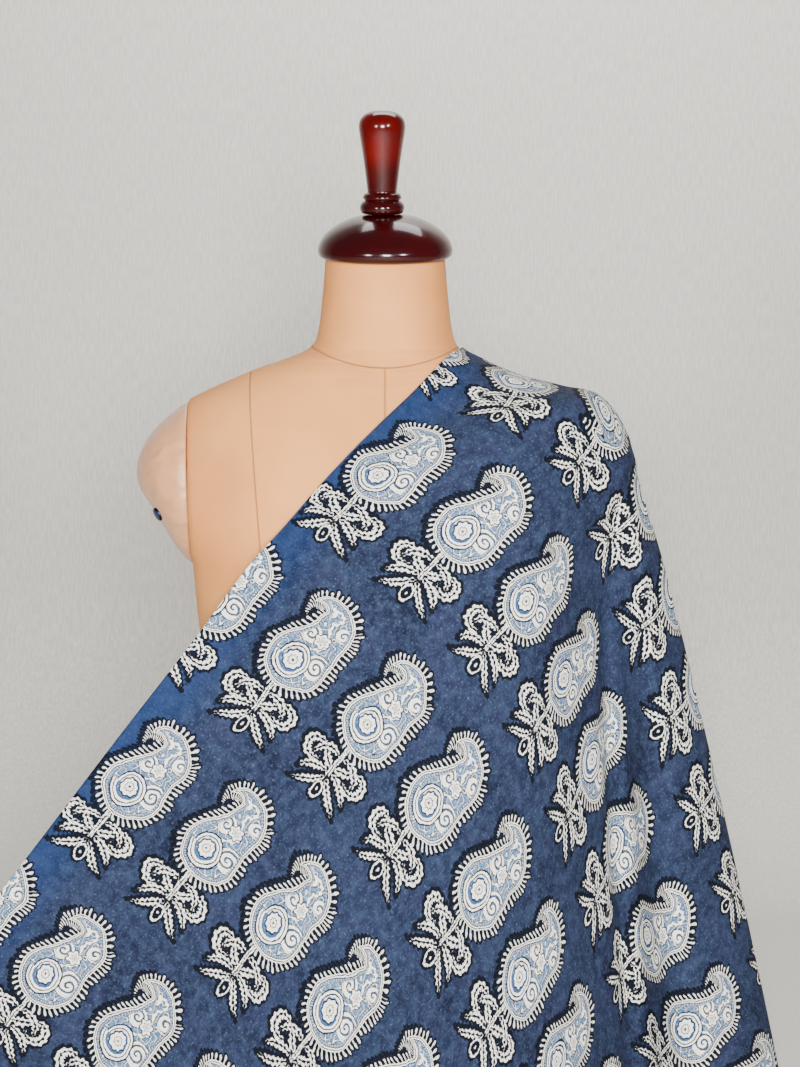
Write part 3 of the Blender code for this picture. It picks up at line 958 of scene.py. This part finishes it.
    def shadow(self, graph: Graph, place: Link, base: Link, behind: Link, body: Outline,
               tuft: Link, fine: Link) -> Link:
        """Lay the dark outline behind the rays, the body and the tuft over the ground.

        Args:
            graph: the tree to build in.
            place: place on the block.
            base: colour of the ground.
            behind: distance to the darker rays.
            body: the place about the body's outline.
            tuft: distance to the tuft.
            fine: fine noise of the dye.

        Returns:
            The colour.
        """
        shaded = self.block.tuft(graph, graph.vector("ADD", place, self.shade_shift))
        near_body = body.dist - self.body_shade
        near_tuft = graph.least(shaded, tuft) - self.tuft_shade
        dark = graph.least(behind, near_body, near_tuft)
        dark = dark + (fine * 2.0 - 1.0)
        shown = self.mask(graph, dark, 0.0, 0.5) * 0.94
        return graph.mix(shown, base, self.navy)

    def build(self, side: ClothSide) -> bpy.types.Material:
        """Make one side's material.

        Args:
            side: the printed face, or the reverse where the print shows through paler.

        Returns:
            The material.
        """
        graph = Graph(f"indigo_cotton_{side.value}")
        cut = graph.out(graph.node("ShaderNodeUVMap", uv_map=CUT_MAP))
        flat = graph.vector("SCALE", cut, 1.0 / MM)
        flat = graph.vector("ADD", flat, self.wobble(graph, cut, 55.0, 4.5))
        flat = graph.vector("ADD", flat, self.wobble(graph, cut, 420.0, 1.3))
        place = self.lattice(graph, flat)
        fine = graph.noise(cut, 520.0, 2.0, 0.6)

        body = self.block.body(graph, place)
        rays, behind = self.rays(graph, place, body)
        tuft = self.block.tuft(graph, place)
        colour = self.ground(graph, cut, flat, fine)
        colour = self.shadow(graph, place, colour, behind, body, tuft, fine)

        nibble = fine * 2.8 - 1.3
        cream = graph.mix(graph.spread(fine, 0.42, 0.62), self.cream, self.worn)
        shown = graph.least(rays, tuft + nibble)
        colour = graph.mix(self.mask(graph, shown), colour, cream)
        within = self.mask(graph, body.dist, 0.2)
        colour = graph.mix(within, colour, self.inside(graph, place, body, fine))

        warp, weft = (graph.noise(graph.vector("MULTIPLY", cut, thread), 90.0, 3.0, 0.65)
                      for thread in ((1.0, 14.0, 1.0), (14.0, 1.0, 1.0)))
        weave = warp + weft
        colour = graph.mix(graph.spread(weave, 0.7, 1.3, 0.16, 0.0), colour, self.deep)
        if side is ClothSide.REVERSE:
            colour = graph.mix(0.45, colour, self.indigo)
        return graph.surface(colour, 0.9, graph.bump(weave, 0.0004, 0.5), Specular_IOR_Level=0.12)


@dataclass(frozen=True)
class StudioPaper:
    """Pale linen backdrop with a fine upright grain, clear when seen through its back."""

    pale: Colour = linear(206, 202, 194)
    grey: Colour = linear(186, 183, 177)
    grain: tuple[float, float, float] = (420.0, 420.0, 60.0)

    def build(self) -> bpy.types.Material:
        """Make the material."""
        graph = Graph("studio_linen")
        place = graph.out(graph.node("ShaderNodeTexCoord"), "Object")
        streak = graph.noise(graph.vector("MULTIPLY", place, self.grain), 1.0, 3.0, 0.6)
        colour = graph.mix(graph.spread(streak, 0.3, 0.7), self.grey, self.pale)
        toward_part = graph.out(graph.node("ShaderNodeNewGeometry"), "Backfacing")
        return graph.surface(colour, 0.9, Specular_IOR_Level=0.1, Alpha=toward_part)


@dataclass
class DressForm:
    """The padded torso and neck."""

    columns: tuple[str, ...] = ("z", "half_width", "front", "back", "power")
    sections: tuple[tuple[float, ...], ...] = (
        (0, 146, 88, 98, 2.2), (6, 150, 91, 101, 2.2), (60, 152, 93, 103, 2.2),
        (140, 146, 90, 100, 2.2), (220, 131, 85, 86, 2.2), (290, 125, 88, 80, 2.2),
        (350, 136, 103, 85, 2.3), (400, 149, 115, 92, 2.35), (440, 157, 119, 98, 2.4),
        (475, 161, 116, 103, 2.4), (499, 165, 113, 105, 2.4), (515, 177, 110, 106, 2.4),
        (540, 187, 105, 106, 2.4), (567, 188, 100, 104, 2.4), (595, 186, 92, 99, 2.35),
        (615, 181, 85, 93, 2.3), (628, 175, 79, 87, 2.2), (637, 167, 75, 82, 2.1),
        (646, 150, 71, 77, 2.05), (655, 130, 67, 72, 2.0), (664, 108, 63, 68, 2.0),
        (672, 85, 60, 64, 2.0), (680, 66, 58, 61, 2.0), (690, 58, 57, 59, 2.0),
        (722, 53, 53, 53, 2.0), (756, 50, 50, 50, 2.0),
    )
    rings: int = 150
    segments: int = 144
    shoulder_z: float = 600.0
    throat_z: float = 700.0
    neck_lean: float = math.radians(8)
    neck_foot_z: float = 680.0
    neck_top_z: float = 756.0
    armhole_x: float = 163.0
    armhole_z: float = 567.0
    armhole_slope: float = 0.03
    sag_depth: float = 6.5
    sag_x: float = 105.0
    sag_width: float = 38.0
    sag_from_z: float = 600.0
    sag_full_z: float = 650.0

    def armhole_plane(self, z: np.ndarray) -> np.ndarray:
        """How far the armhole lies from the form's centre at height z."""
        return self.armhole_x + self.armhole_slope * (np.asarray(z, dtype=float) - self.armhole_z)

    def neck_axis(self) -> Vector:
        """Direction of the leaning neck."""
        return Vector((0.0, -math.sin(self.neck_lean), math.cos(self.neck_lean)))

    def neck_top(self) -> Vector:
        """Centre of the neck's top face."""
        rise = self.neck_top_z - self.neck_foot_z
        return Vector((0.0, -rise * math.tan(self.neck_lean), self.neck_top_z))

    def ring(self, row: dict[str, float]) -> np.ndarray:
        """One ring of the body, flat at the armholes and leaning with the neck.

        Args:
            row: the ring's section by column name.

        Returns:
            The ring's points.
        """
        turn = np.linspace(0.0, 2.0 * math.pi, self.segments + 1)
        turn[-1] = turn[0]
        x, y = np.cos(turn), np.sin(turn)
        power = row["power"]
        stretch = (np.abs(x) ** power + np.abs(y) ** power) ** (-1.0 / power)
        reach = float(self.armhole_plane(row["z"]))
        lift = max(row["z"] - self.neck_foot_z, 0.0)
        share = lift / (self.neck_top_z - self.neck_foot_z)
        px = np.clip(x * stretch * row["half_width"], -reach, reach)
        py = y * stretch * np.where(y > 0.0, row["back"], row["front"])
        lean = math.tan(self.neck_lean)
        bell = np.exp(-(((px - self.sag_x) / self.sag_width) ** 2)) * (px > 0.0)
        sag = self.sag_depth * bell * ease(self.sag_from_z, self.sag_full_z, row["z"])
        return np.stack((px, py - lift * lean, row["z"] + share * py * lean - sag), axis=1)

    def surface(self) -> np.ndarray:
        """All rings of the body, from the underside up to the neck's top."""
        table = np.array(self.sections, dtype=float)
        heights = np.concatenate((
            np.linspace(0.0, self.shoulder_z, self.rings // 2, endpoint=False),
            np.linspace(self.shoulder_z, self.throat_z, self.rings // 3, endpoint=False),
            np.linspace(self.throat_z, self.neck_top_z, self.rings // 6),
        ))
        rows = hermite(table[:, 0], table, heights)
        rows[:, 0] = heights
        return np.stack([self.ring(dict(zip(self.columns, row))) for row in rows])

    def build(self, cover: bpy.types.Material) -> bpy.types.Object:
        """Make and dress the body."""
        body = finish_mesh("covered_form", tube_shape(self.surface()))
        body.data.materials.append(cover)
        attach(body, BODY)
        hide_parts("form_body")
        return body


@dataclass
class ArmPad:
    """A domed arm pad against its armhole."""

    side: float
    form: DressForm
    # Each section: how far out it lies, its top, its bottom and half its depth.
    sections: tuple[tuple[float, ...], ...] = (
        (0.0, 636, 499, 60), (5.0, 634, 501, 60), (13.0, 628, 510, 57), (22.0, 621, 525, 52),
        (31.0, 612, 541, 43), (39.0, 601, 554, 31), (44.5, 589, 563, 17), (46.8, 580, 571, 6),
    )
    centre_y: float = 1.0
    segments: int = 96
    steps: int = 40
    power: float = 2.2
    gap: float = 0.4

    def build(self, name: str, node: str, satin: bpy.types.Material) -> bpy.types.Object:
        """Make and dress the pad.

        Args:
            name: name of the piece.
            node: the solid that it stands for.
            satin: its finish.

        Returns:
            The pad.
        """
        table = np.array(self.sections, dtype=float)
        arc = np.concatenate(([0.0], np.cumsum(np.hypot(
            np.diff(table[:, 0]), np.diff(table[:, 1])))))
        rows = hermite(arc, table, np.linspace(0.0, arc[-1], self.steps))
        turn = np.linspace(0.0, 2.0 * math.pi, self.segments + 1)
        turn[-1] = turn[0]
        x, y = np.cos(turn), np.sin(turn)
        stretch = (np.abs(x) ** self.power + np.abs(y) ** self.power) ** (-1.0 / self.power)
        rings = []
        for out, top, bottom, half_depth in rows:
            height = 0.5 * (top + bottom) + 0.5 * (top - bottom) * y * stretch
            px = self.form.armhole_plane(height) + self.gap + out
            py = self.centre_y + half_depth * x * stretch
            rings.append(np.stack((self.side * px, py, height), axis=1))
        pad = finish_mesh(name, tube_shape(np.stack(rings)))
        pad.data.materials.append(satin)
        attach(pad, BODY)
        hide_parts(node)
        return pad


@dataclass
class TurnedNeck:
    """The turned cap and knob on the neck."""

    form: DressForm
    cap: tuple[tuple[float, float], ...] = (
        (0.0, 36.5), (12.0, 36.2), (20.0, 35.2), (30.0, 32.4), (40.0, 27.6), (48.0, 21.8),
        (53.4, 15.6), (56.0, 9.6), (56.5, 6.2), (55.6, 2.6), (53.0, 0.4), (50.0, 0.0), (0.0, 0.0),
    )
    knob: tuple[tuple[float, float], ...] = (
        (0.0, 84.5), (8.0, 83.8), (14.0, 81.4), (17.8, 77.6), (19.3, 72.6), (19.0, 67.0),
        (17.6, 58.0), (15.6, 45.0), (13.8, 31.0), (12.6, 21.0), (12.4, 17.4), (14.4, 16.4),
        (16.0, 14.2), (15.9, 12.4), (14.6, 10.9), (16.4, 9.6), (18.4, 6.6), (18.5, 3.6),
        (17.4, 0.8), (16.0, 0.0), (0.0, 0.0),
    )
    knob_offset: Vector = field(default_factory=lambda: Vector((-2.5, 0.0, 0.0)))
    gap: float = 0.4
    fine: int = 5
    turns: int = 96

    def turned(self, name: str, node: str, profile: tuple[tuple[float, float], ...],
               foot: Vector, lacquer: bpy.types.Material) -> bpy.types.Object:
        """Spin one profile on the neck's axis.

        Args:
            name: name of the piece.
            node: the solid that it stands for.
            profile: radius and height pairs, from the top down.
            foot: centre of its underside.
            lacquer: its finish.

        Returns:
            The turned piece.
        """
        table = np.array(profile, dtype=float)
        outer, base = table[:-1], table[-1]
        arc = np.concatenate(([0.0], np.cumsum(np.hypot(*np.diff(outer, axis=0).T))))
        at = np.unique(np.concatenate([
            np.linspace(a, b, self.fine + 1) for a, b in zip(arc, arc[1:])]))
        line = np.vstack((hermite(arc, outer, at), base))
        line[0, 0] = 0.0
        line[:, 0] = np.maximum(line[:, 0], 0.0)
        shape = bmesh.new()
        verts = [shape.verts.new((radius * MM, 0.0, height * MM)) for radius, height in line]
        for a, b in zip(verts, verts[1:]):
            shape.edges.new((a, b))
        bmesh.ops.spin(
            shape, geom=shape.verts[:] + shape.edges[:], cent=(0.0, 0.0, 0.0), axis=(0.0, 0.0, 1.0),
            dvec=(0.0, 0.0, 0.0), angle=2.0 * math.pi, steps=self.turns, use_merge=True,
            use_normal_flip=False, use_duplicate=False,
        )
        bmesh.ops.remove_doubles(shape, verts=shape.verts, dist=TINY)
        lean = Matrix.Translation(foot * MM) @ Matrix.Rotation(self.form.neck_lean, 4, "X")
        bmesh.ops.transform(shape, matrix=lean, verts=shape.verts)
        piece = finish_mesh(name, shape)
        piece.data.set_sharp_from_angle(angle=math.radians(40))
        piece.data.materials.append(lacquer)
        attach(piece, BODY)
        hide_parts(node)
        return piece

    def build(self, lacquer: bpy.types.Material) -> list[bpy.types.Object]:
        """Make both turned pieces."""
        axis = self.form.neck_axis()
        cap_foot = self.form.neck_top() + axis * self.gap
        knob_foot = cap_foot + self.knob_offset + axis * (self.cap[0][1] + self.gap)
        return [
            self.turned("turned_cap", "neck_cap", self.cap, cap_foot, lacquer),
            self.turned("turned_knob", "neck_knob", self.knob, knob_foot, lacquer),
        ]


@dataclass
class PadBolt:
    """The bolt head in the left arm pad."""

    radius: float = 6.0
    length: float = 7.0
    centre: tuple[float, float, float] = (-189.0, -32.0, 543.5)
    axis: tuple[float, float, float] = (-0.80, -0.42, -0.43)
    edge: float = 1.4
    sides: int = 48

    def build(self, steel: bpy.types.Material) -> bpy.types.Object:
        """Make and dress the bolt head."""
        axis = Vector(self.axis).normalized()
        middle = Vector(self.centre) - axis * (self.length * 0.1)
        turn = Vector((0.0, 0.0, 1.0)).rotation_difference(axis).to_matrix().to_4x4()
        shape = bmesh.new()
        bmesh.ops.create_cone(
            shape, cap_ends=True, segments=self.sides, radius1=self.radius * MM,
            radius2=self.radius * MM, depth=self.length * MM,
            matrix=Matrix.Translation(middle * MM) @ turn,
        )
        rims = [edge for edge in shape.edges if max(len(face.verts) for face in edge.link_faces) > 4]
        bmesh.ops.bevel(
            shape, geom=rims, offset=self.edge * MM, offset_type="OFFSET", affect="EDGES",
            segments=4, profile=0.5, material=-1,
        )
        bolt = finish_mesh("steel_bolt", shape)
        bolt.data.materials.append(steel)
        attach(bolt, BODY)
        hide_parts("pad_bolt")
        return bolt


@dataclass
class DrapedCloth:
    """The printed cloth over the right shoulder, open at the front and hanging to the surface."""

    columns: tuple[str, ...] = (
        "edge_x", "edge_y", "edge_z", "chest_x", "chest_y", "side_x", "side_y", "valley_x",
        "valley_y", "panel_x", "panel_y", "fold_x", "fold_y", "fold_z", "back_x", "back_y",
        "tail_x", "tail_y", "tail_z",
    )
    sections: tuple[tuple[float, ...], ...] = (
        (-24, -88, 600, 2, -79, 26, -66, 45, -45, 58, -22, 65, 4, 680, 72, 50, 82, 88, 600),
        (-60, -98, 562, -15, -93, 36, -80, 78, -56, 99, -27, 109, 4, 660, 108, 56, 86, 97, 568),
        (-83, -104, 536, -13, -102, 60, -92, 116, -64, 140, -32, 150, 4, 649, 140, 62, 88, 102, 546),
        (-107, -109, 510, -8, -108, 82, -98, 150, -64, 171, -32, 181, 4, 641, 160, 68, 88, 106, 522),
        (-129, -113, 481, -3, -114, 96, -104, 176, -56, 195, -28, 203, 4, 611, 172, 74, 86, 108, 494),
        (-151, -116, 451, 0, -119, 104, -106, 187, -46, 204, -27, 212, 4, 575, 180, 78, 84, 109, 462),
        (-211, -119, 374, 5, -125, 112, -102, 190, -27, 214, -32, 236, 8, 499, 194, 84, 80, 108, 386),
        (-299, -123, 259, 9, -128, 118, -92, 200, -17, 236, -38, 276, 10, 344, 216, 88, 76, 104, 268),
        (-413, -128, 113, 13, -133, 124, -90, 214, -12, 266, -46, 322, 14, 147, 240, 92, 72, 102, 116),
        (-502, -132, 0, 15, -138, 130, -93, 221, -9, 289, -53, 354, 16, 0, 260, 95, 70, 102, 0),
    )
    spans: tuple[int, ...] = (13, 7, 7, 5, 6, 7, 8)
    rows: int = 33
    finer: int = 4
    fold_columns: tuple[str, ...] = (
        "name", "along_top", "along_hem", "start", "full", "height", "width")
    folds: tuple[tuple[object, ...], ...] = (
        ("front_left_trough", 0.10, 0.13, 0.45, 1.00, -5.0, 0.045),
        ("front_left_ridge", 0.20, 0.24, 0.40, 1.00, 4.0, 0.040),
        ("chest_ridge", 0.34, 0.34, 0.55, 1.00, 4.0, 0.030),
        ("valley_crease", 0.50, 0.51, 0.30, 0.55, -14.0, 0.018),
        ("panel_ridge", 0.56, 0.57, 0.36, 0.70, 8.0, 0.026),
        ("back_ridge_outer", 0.79, 0.77, 0.30, 0.90, 13.0, 0.020),
        ("back_trough_outer", 0.84, 0.82, 0.32, 0.90, -9.0, 0.018),
        ("back_ridge_inner", 0.89, 0.88, 0.34, 1.00, 15.0, 0.019),
        ("back_trough_inner", 0.94, 0.93, 0.36, 1.00, -8.0, 0.017),
    )
    # How the print lies on the unrolled cloth: its first row up the selvedge, how far it hangs lower
    # away from the selvedge, and how its columns draw in, most of all towards the neck.
    print_start: float = -250.0
    hang_from: float = 80.0
    hang_full: float = 640.0
    hang_depth: float = 170.0
    print_width: float = 0.95
    neck_from: float = 350.0
    neck_draw: float = 0.12
    first_slope: tuple[float, float] = (0.6, 0.8)
    unroll_rounds: int = 240
    bias_give: float = 0.25
    thickness: float = 1.2
    hem_rise: float = 0.4
    clearance: float = 1.3
    smooth_rounds: int = 8
    push_rounds: int = 5
    near: float = 30.0
    least_move: float = 0.01

    def stations(self, section: dict[str, float]) -> np.ndarray:
        """Points along one section, with a fixed number between each two named lines.

        Args:
            section: the section's values by column name.

        Returns:
            The section's points.
        """
        names = ("edge", "chest", "side", "valley", "panel", "fold", "back", "tail")
        plan = np.array([(section[name + "_x"], section[name + "_y"]) for name in names])
        stops = np.concatenate(([0.0], np.cumsum(np.linalg.norm(np.diff(plan, axis=0), axis=1))))
        fold_stop = stops[names.index("fold")]
        at = np.concatenate([
            np.linspace(start, end, span * self.finer, endpoint=False)
            for span, start, end in zip(self.spans, stops, stops[1:])] + [stops[-1:]])
        xy = hermite(stops, plan, at)
        front = at <= fold_stop
        low = np.where(front, section["edge_z"], section["tail_z"])
        share = np.where(front, at / fold_stop, (stops[-1] - at) / (stops[-1] - fold_stop))
        z = low + (section["fold_z"] - low) * np.sin(0.5 * math.pi * share)
        return np.column_stack((xy, z))

    def middle(self) -> np.ndarray:
        """The cloth's middle surface, from the neck point down to the hem."""
        table = np.array(self.sections, dtype=float)
        ridge = table[:, [self.columns.index(name) for name in ("fold_x", "fold_y", "fold_z")]]
        stops = np.concatenate(([0.0], np.cumsum(np.linalg.norm(np.diff(ridge, axis=0), axis=1))))
        at = np.linspace(0.0, stops[-1], self.rows * self.finer + 1)
        rows = hermite(stops, table, at)
        return np.stack([self.stations(dict(zip(self.columns, row))) for row in rows])

    def normals(self, grid: np.ndarray) -> np.ndarray:
        """Level outward direction of the cloth at each point."""
        down = np.gradient(grid, axis=0)
        across = np.gradient(grid, axis=1)
        normal = np.cross(down, across)
        normal /= np.maximum(np.linalg.norm(normal, axis=2, keepdims=True), TINY)
        normal[..., 2] = 0.0
        return normal

    def folded(self, grid: np.ndarray) -> np.ndarray:
        """Raise the ridges and sink the troughs of the folds table."""
        depth = np.linspace(0.0, 1.0, grid.shape[0])[:, None]
        along = np.linspace(0.0, 1.0, grid.shape[1])[None, :]
        offset = np.zeros(grid.shape[:2])
        for row in self.folds:
            fold = dict(zip(self.fold_columns, row))
            centre = fold["along_top"] + (fold["along_hem"] - fold["along_top"]) * depth
            bell = np.exp(-(((along - centre) / fold["width"]) ** 2))
            offset += fold["height"] * bell * ease(fold["start"], fold["full"], depth)
        return grid + self.normals(grid) * offset[..., None]

    def unrolled(self, grid: np.ndarray) -> np.ndarray:
        """Lay the cloth flat, keeping the lengths between its points, with its selvedge straight.

        Args:
            grid: the cloth's middle surface, in rows and columns.

        Returns:
            Each point's place on the flat cloth: up along the selvedge and across from it.
        """
        rows, columns = grid.shape[:2]
        index = np.arange(rows * columns).reshape(rows, columns)
        pairs, pulls = [], []
        for a, b, pull in (
            (index[:, :-1], index[:, 1:], 1.0), (index[:-1], index[1:], 1.0),
            (index[:-1, :-1], index[1:, 1:], self.bias_give),
            (index[1:, :-1], index[:-1, 1:], self.bias_give),
        ):
            pairs.append(np.column_stack((a.ravel(), b.ravel())))
            pulls.append(np.full(a.size, pull))
        pair, pull = np.vstack(pairs), np.concatenate(pulls)
        points = grid.reshape(-1, 3)
        length = np.linalg.norm(points[pair[:, 0]] - points[pair[:, 1]], axis=1)
        matrix = np.zeros((rows * columns, rows * columns))
        for a, b, sign in ((0, 0, 1.0), (1, 1, 1.0), (0, 1, -1.0), (1, 0, -1.0)):
            np.add.at(matrix, (pair[:, a], pair[:, b]), sign * pull)
        held = matrix.copy()
        held[index[:, 0], index[:, 0]] += 1.0
        matrix[index[rows // 2, 0], index[rows // 2, 0]] += 1.0
        along_solver, across_solver = np.linalg.inv(matrix), np.linalg.inv(held)
        drop = np.concatenate(([0.0], np.cumsum(np.linalg.norm(np.diff(grid[:, 0], axis=0), axis=1))))
        reach = np.cumsum(np.linalg.norm(np.diff(grid, axis=1, prepend=grid[:, :1]), axis=2), axis=1)
        start = drop[rows // 2]
        up, out = self.first_slope
        flat = np.stack((start - drop[:, None] + up * reach, out * reach), axis=2).reshape(-1, 2)
        for _ in range(self.unroll_rounds):
            gap = flat[pair[:, 0]] - flat[pair[:, 1]]
            gap *= (length * pull / np.maximum(np.linalg.norm(gap, axis=1), TINY))[:, None]
            load = np.zeros_like(flat)
            np.add.at(load, pair[:, 0], gap)
            np.add.at(load, pair[:, 1], -gap)
            flat = np.column_stack((along_solver @ load[:, 0], across_solver @ load[:, 1]))
        return flat.reshape(rows, columns, 2)

    def finely(self, flat: np.ndarray, shape: tuple[int, int]) -> np.ndarray:
        """Read the flat places of a coarse grid at the rows and columns of a finer one."""
        rows, columns = flat.shape[0] - 1, flat.shape[1] - 1
        tall = hermite(np.arange(rows + 1), flat, np.linspace(0.0, rows, shape[0]))
        wide = hermite(np.arange(columns + 1), tall.transpose(1, 0, 2),
                       np.linspace(0.0, columns, shape[1]))
        return wide.transpose(1, 0, 2)

    def printed(self, flat: np.ndarray) -> np.ndarray:
        """Place on the print, up along its rows and across them, for places on the flat cloth."""
        up, out = flat[..., 0], flat[..., 1]
        hang = self.hang_depth * ease(self.hang_from, self.hang_full, out)
        draw = self.neck_draw * np.maximum(up - self.neck_from, 0.0)
        return np.stack((up + self.print_start + hang, self.print_width * out - draw), axis=-1)

    def settled(self, grid: np.ndarray, carriers: list[bpy.types.Object]) -> np.ndarray:
        """Lay the cloth on what carries it, smooth where it was pushed out.

        Args:
            grid: the cloth's middle surface.
            carriers: the pieces that it rests on.

        Returns:
            The surface, clear of those pieces everywhere.
        """
        trees = []
        for carrier in carriers:
            shape = bmesh.new()
            shape.from_mesh(carrier.data)
            trees.append(BVHTree.FromBMesh(shape))
            shape.free()
        distance = self.clearance + 0.5 * self.thickness
        grid = grid.copy()
        close = np.ones(grid.shape[:2], dtype=bool)
        for turn in range(self.smooth_rounds + self.push_rounds):
            moved = np.zeros(grid.shape[:2], dtype=bool)
            for row, column in np.argwhere(close):
                point = Vector(grid[row, column])
                put, gap = self.clear_of(trees, point, distance)
                if gap > self.near:
                    close[row, column] = False
                elif (put - point).length > self.least_move:
                    grid[row, column] = put
                    moved[row, column] = True
            if turn < self.smooth_rounds:
                ring = (grid[:-2, 1:-1] + grid[2:, 1:-1] + grid[1:-1, :-2] + grid[1:-1, 2:]) / 4.0
                here = moved[1:-1, 1:-1, None]
                grid[1:-1, 1:-1] = np.where(here, 0.5 * (grid[1:-1, 1:-1] + ring), grid[1:-1, 1:-1])
        grid[..., 2] = np.maximum(grid[..., 2], self.hem_rise)
        return grid

    def clear_of(self, trees: list[BVHTree], point: Vector, distance: float) -> tuple[Vector, float]:
        """Move a point out of each piece until it lies at least this far from it.

        Args:
            trees: search trees of the pieces.
            point: the point, in millimetres.
            distance: the least distance.

        Returns:
            The moved point, and its gap to the nearest piece before that.
        """
        least = math.inf
        for tree in trees:
            place, normal, _, gap = tree.find_nearest(point * MM)
            gap /= MM
            least = min(least, gap)
            if gap < self.near and self.inside(tree, point * MM):
                point = place / MM + normal * distance
                least = 0.0
            elif gap < distance:
                point = place / MM + (point - place / MM).normalized() * distance
        return point, least

    def inside(self, tree: BVHTree, place: Vector) -> bool:
        """Tell whether a place lies in a piece: an odd number of faces lies above it."""
        count = 0
        hit = tree.ray_cast(place, PROBE)[0]
        while hit is not None:
            count += 1
            hit = tree.ray_cast(hit + PROBE * TINY, PROBE)[0]
        return count % 2 == 1

    def area(self, flat: np.ndarray) -> float:
        """Area of the unrolled cloth in square metres, from its places in millimetres."""
        corners = flat * MM
        one = corners[1:, 1:] - corners[:-1, :-1]
        two = corners[1:, :-1] - corners[:-1, 1:]
        return float(0.5 * np.abs(one[..., 0] * two[..., 1] - one[..., 1] * two[..., 0]).sum())

    def build(self, carriers: list[bpy.types.Object], cotton: PrintedCotton) -> bpy.types.Object:
        """Make and dress the cloth.

        Args:
            carriers: the pieces that it rests on.
            cotton: its finish.

        Returns:
            The cloth.
        """
        grid = self.settled(self.folded(self.middle()), carriers)
        flat = self.finely(self.unrolled(grid[::self.finer, ::self.finer]), grid.shape[:2])
        cloth = finish_mesh("draped_cotton", grid_shape(grid, self.printed(flat)))
        for side in ClothSide:
            cloth.data.materials.append(cotton.build(side))
        sheet = cloth.modifiers.new("sheet", "SOLIDIFY")
        sheet.thickness = self.thickness * MM
        sheet.offset = 0.0
        sheet.material_offset = 1
        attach(cloth, BODY)
        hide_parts("kalamkari_cloth")
        low, high = flat.reshape(-1, 2).min(axis=0), flat.reshape(-1, 2).max(axis=0)
        length, width = (high - low) * MM
        round(self.area(flat), 3)
        return cloth


@dataclass
class Studio:
    """Camera, soft lights, floor and backdrop."""

    eye: tuple[float, float, float] = (0.0123, -1.9, 0.690)
    target: tuple[float, float, float] = (0.0123, 0.0, 0.524)
    lens: float = 75.705
    wall_y: float = 1.05
    wall_bend: float = 0.35
    reach: float = 4.0
    air_light: float = 0.16

    def aim(self, item: bpy.types.Object, target: Vector) -> None:
        """Turn a lamp or camera towards a point."""
        item.rotation_euler = (target - item.location).to_track_quat("-Z", "Y").to_euler()

    def camera(self) -> bpy.types.Object:
        """Place the camera."""
        lens = bpy.data.cameras.new("camera")
        lens.lens = self.lens
        lens.sensor_width = 36.0
        lens.dof.use_dof = False
        item = bpy.data.objects.new("camera", lens)
        bpy.context.scene.collection.objects.link(item)
        item.location = self.eye
        self.aim(item, Vector(self.target))
        bpy.context.scene.camera = item
        return item

    def lamp(self, name: str, place: tuple[float, float, float], size: float, power: float,
             target: tuple[float, float, float] | None = None) -> None:
        """Place one square soft light, aimed at the form unless a target is given."""
        light = bpy.data.lights.new(name, "AREA")
        light.size = size
        light.energy = power
        item = bpy.data.objects.new(name, light)
        bpy.context.scene.collection.objects.link(item)
        item.location = place
        self.aim(item, Vector(target or self.target))

    def room(self, paper: bpy.types.Material) -> bpy.types.Object:
        """One sheet of pale paper: floor, bend and backdrop."""
        turns = np.linspace(0.0, 0.5 * math.pi, 16)
        bend = np.column_stack((
            self.wall_y - self.wall_bend + self.wall_bend * np.sin(turns),
            self.wall_bend - self.wall_bend * np.cos(turns)))
        line = np.vstack(((-self.reach, 0.0), bend, (self.wall_y, self.reach))) / MM
        side = self.reach / MM
        rows = [np.column_stack((np.full(len(line), x), line)) for x in (-side, side)]
        points = np.stack(rows, axis=1)
        floor = finish_mesh("studio_floor", grid_shape(points))
        floor.data.materials.append(paper)
        return floor

    def build(self, paper: bpy.types.Material) -> None:
        """Set up the whole studio."""
        self.camera()
        self.room(paper)
        self.lamp("front", (0.1, -2.2, 0.75), 0.45, 92.0)
        self.lamp("left_front", (-1.0, -1.9, 0.8), 0.3, 30.0)
        self.lamp("right_front", (1.1, -1.9, 1.0), 0.3, 36.0)
        self.lamp("wall_wash", (0.15, 0.65, 2.0), 1.0, 27.0, (0.15, 1.05, 1.3))
        world = bpy.data.worlds.new("studio_air")
        world.use_nodes = True
        air = world.node_tree.nodes["Background"]
        air.inputs["Color"].default_value = (1.0, 1.0, 1.0, 1.0)
        air.inputs["Strength"].default_value = self.air_light
        bpy.context.scene.world = world


def main() -> None:
    """Build every piece in order and report it."""
    logging.basicConfig(level=logging.INFO, format="%(name)s %(message)s")
    Studio().build(StudioPaper().build())

    form = DressForm()
    body = form.build(FormCover().build())
    LOG.info("body %s", body.name)
    satin = PadSatin().build()
    left_pad = ArmPad(-1.0, form).build("left_arm_pad", "arm_pad_left", satin)
    right_pad = ArmPad(1.0, form).build("right_arm_pad", "arm_pad_right", satin)
    LOG.info("pads %s %s", left_pad.name, right_pad.name)
    bolt = PadBolt().build(BluedSteel().build())
    LOG.info("bolt %s", bolt.name)
    for piece in TurnedNeck(form).build(CherryLacquer().build()):
        LOG.info("turned %s", piece.name)

    cloth = DrapedCloth().build([body, right_pad], PrintedCotton())
    LOG.info("cloth %s", cloth.name)


if __name__ == "__main__":
    main()
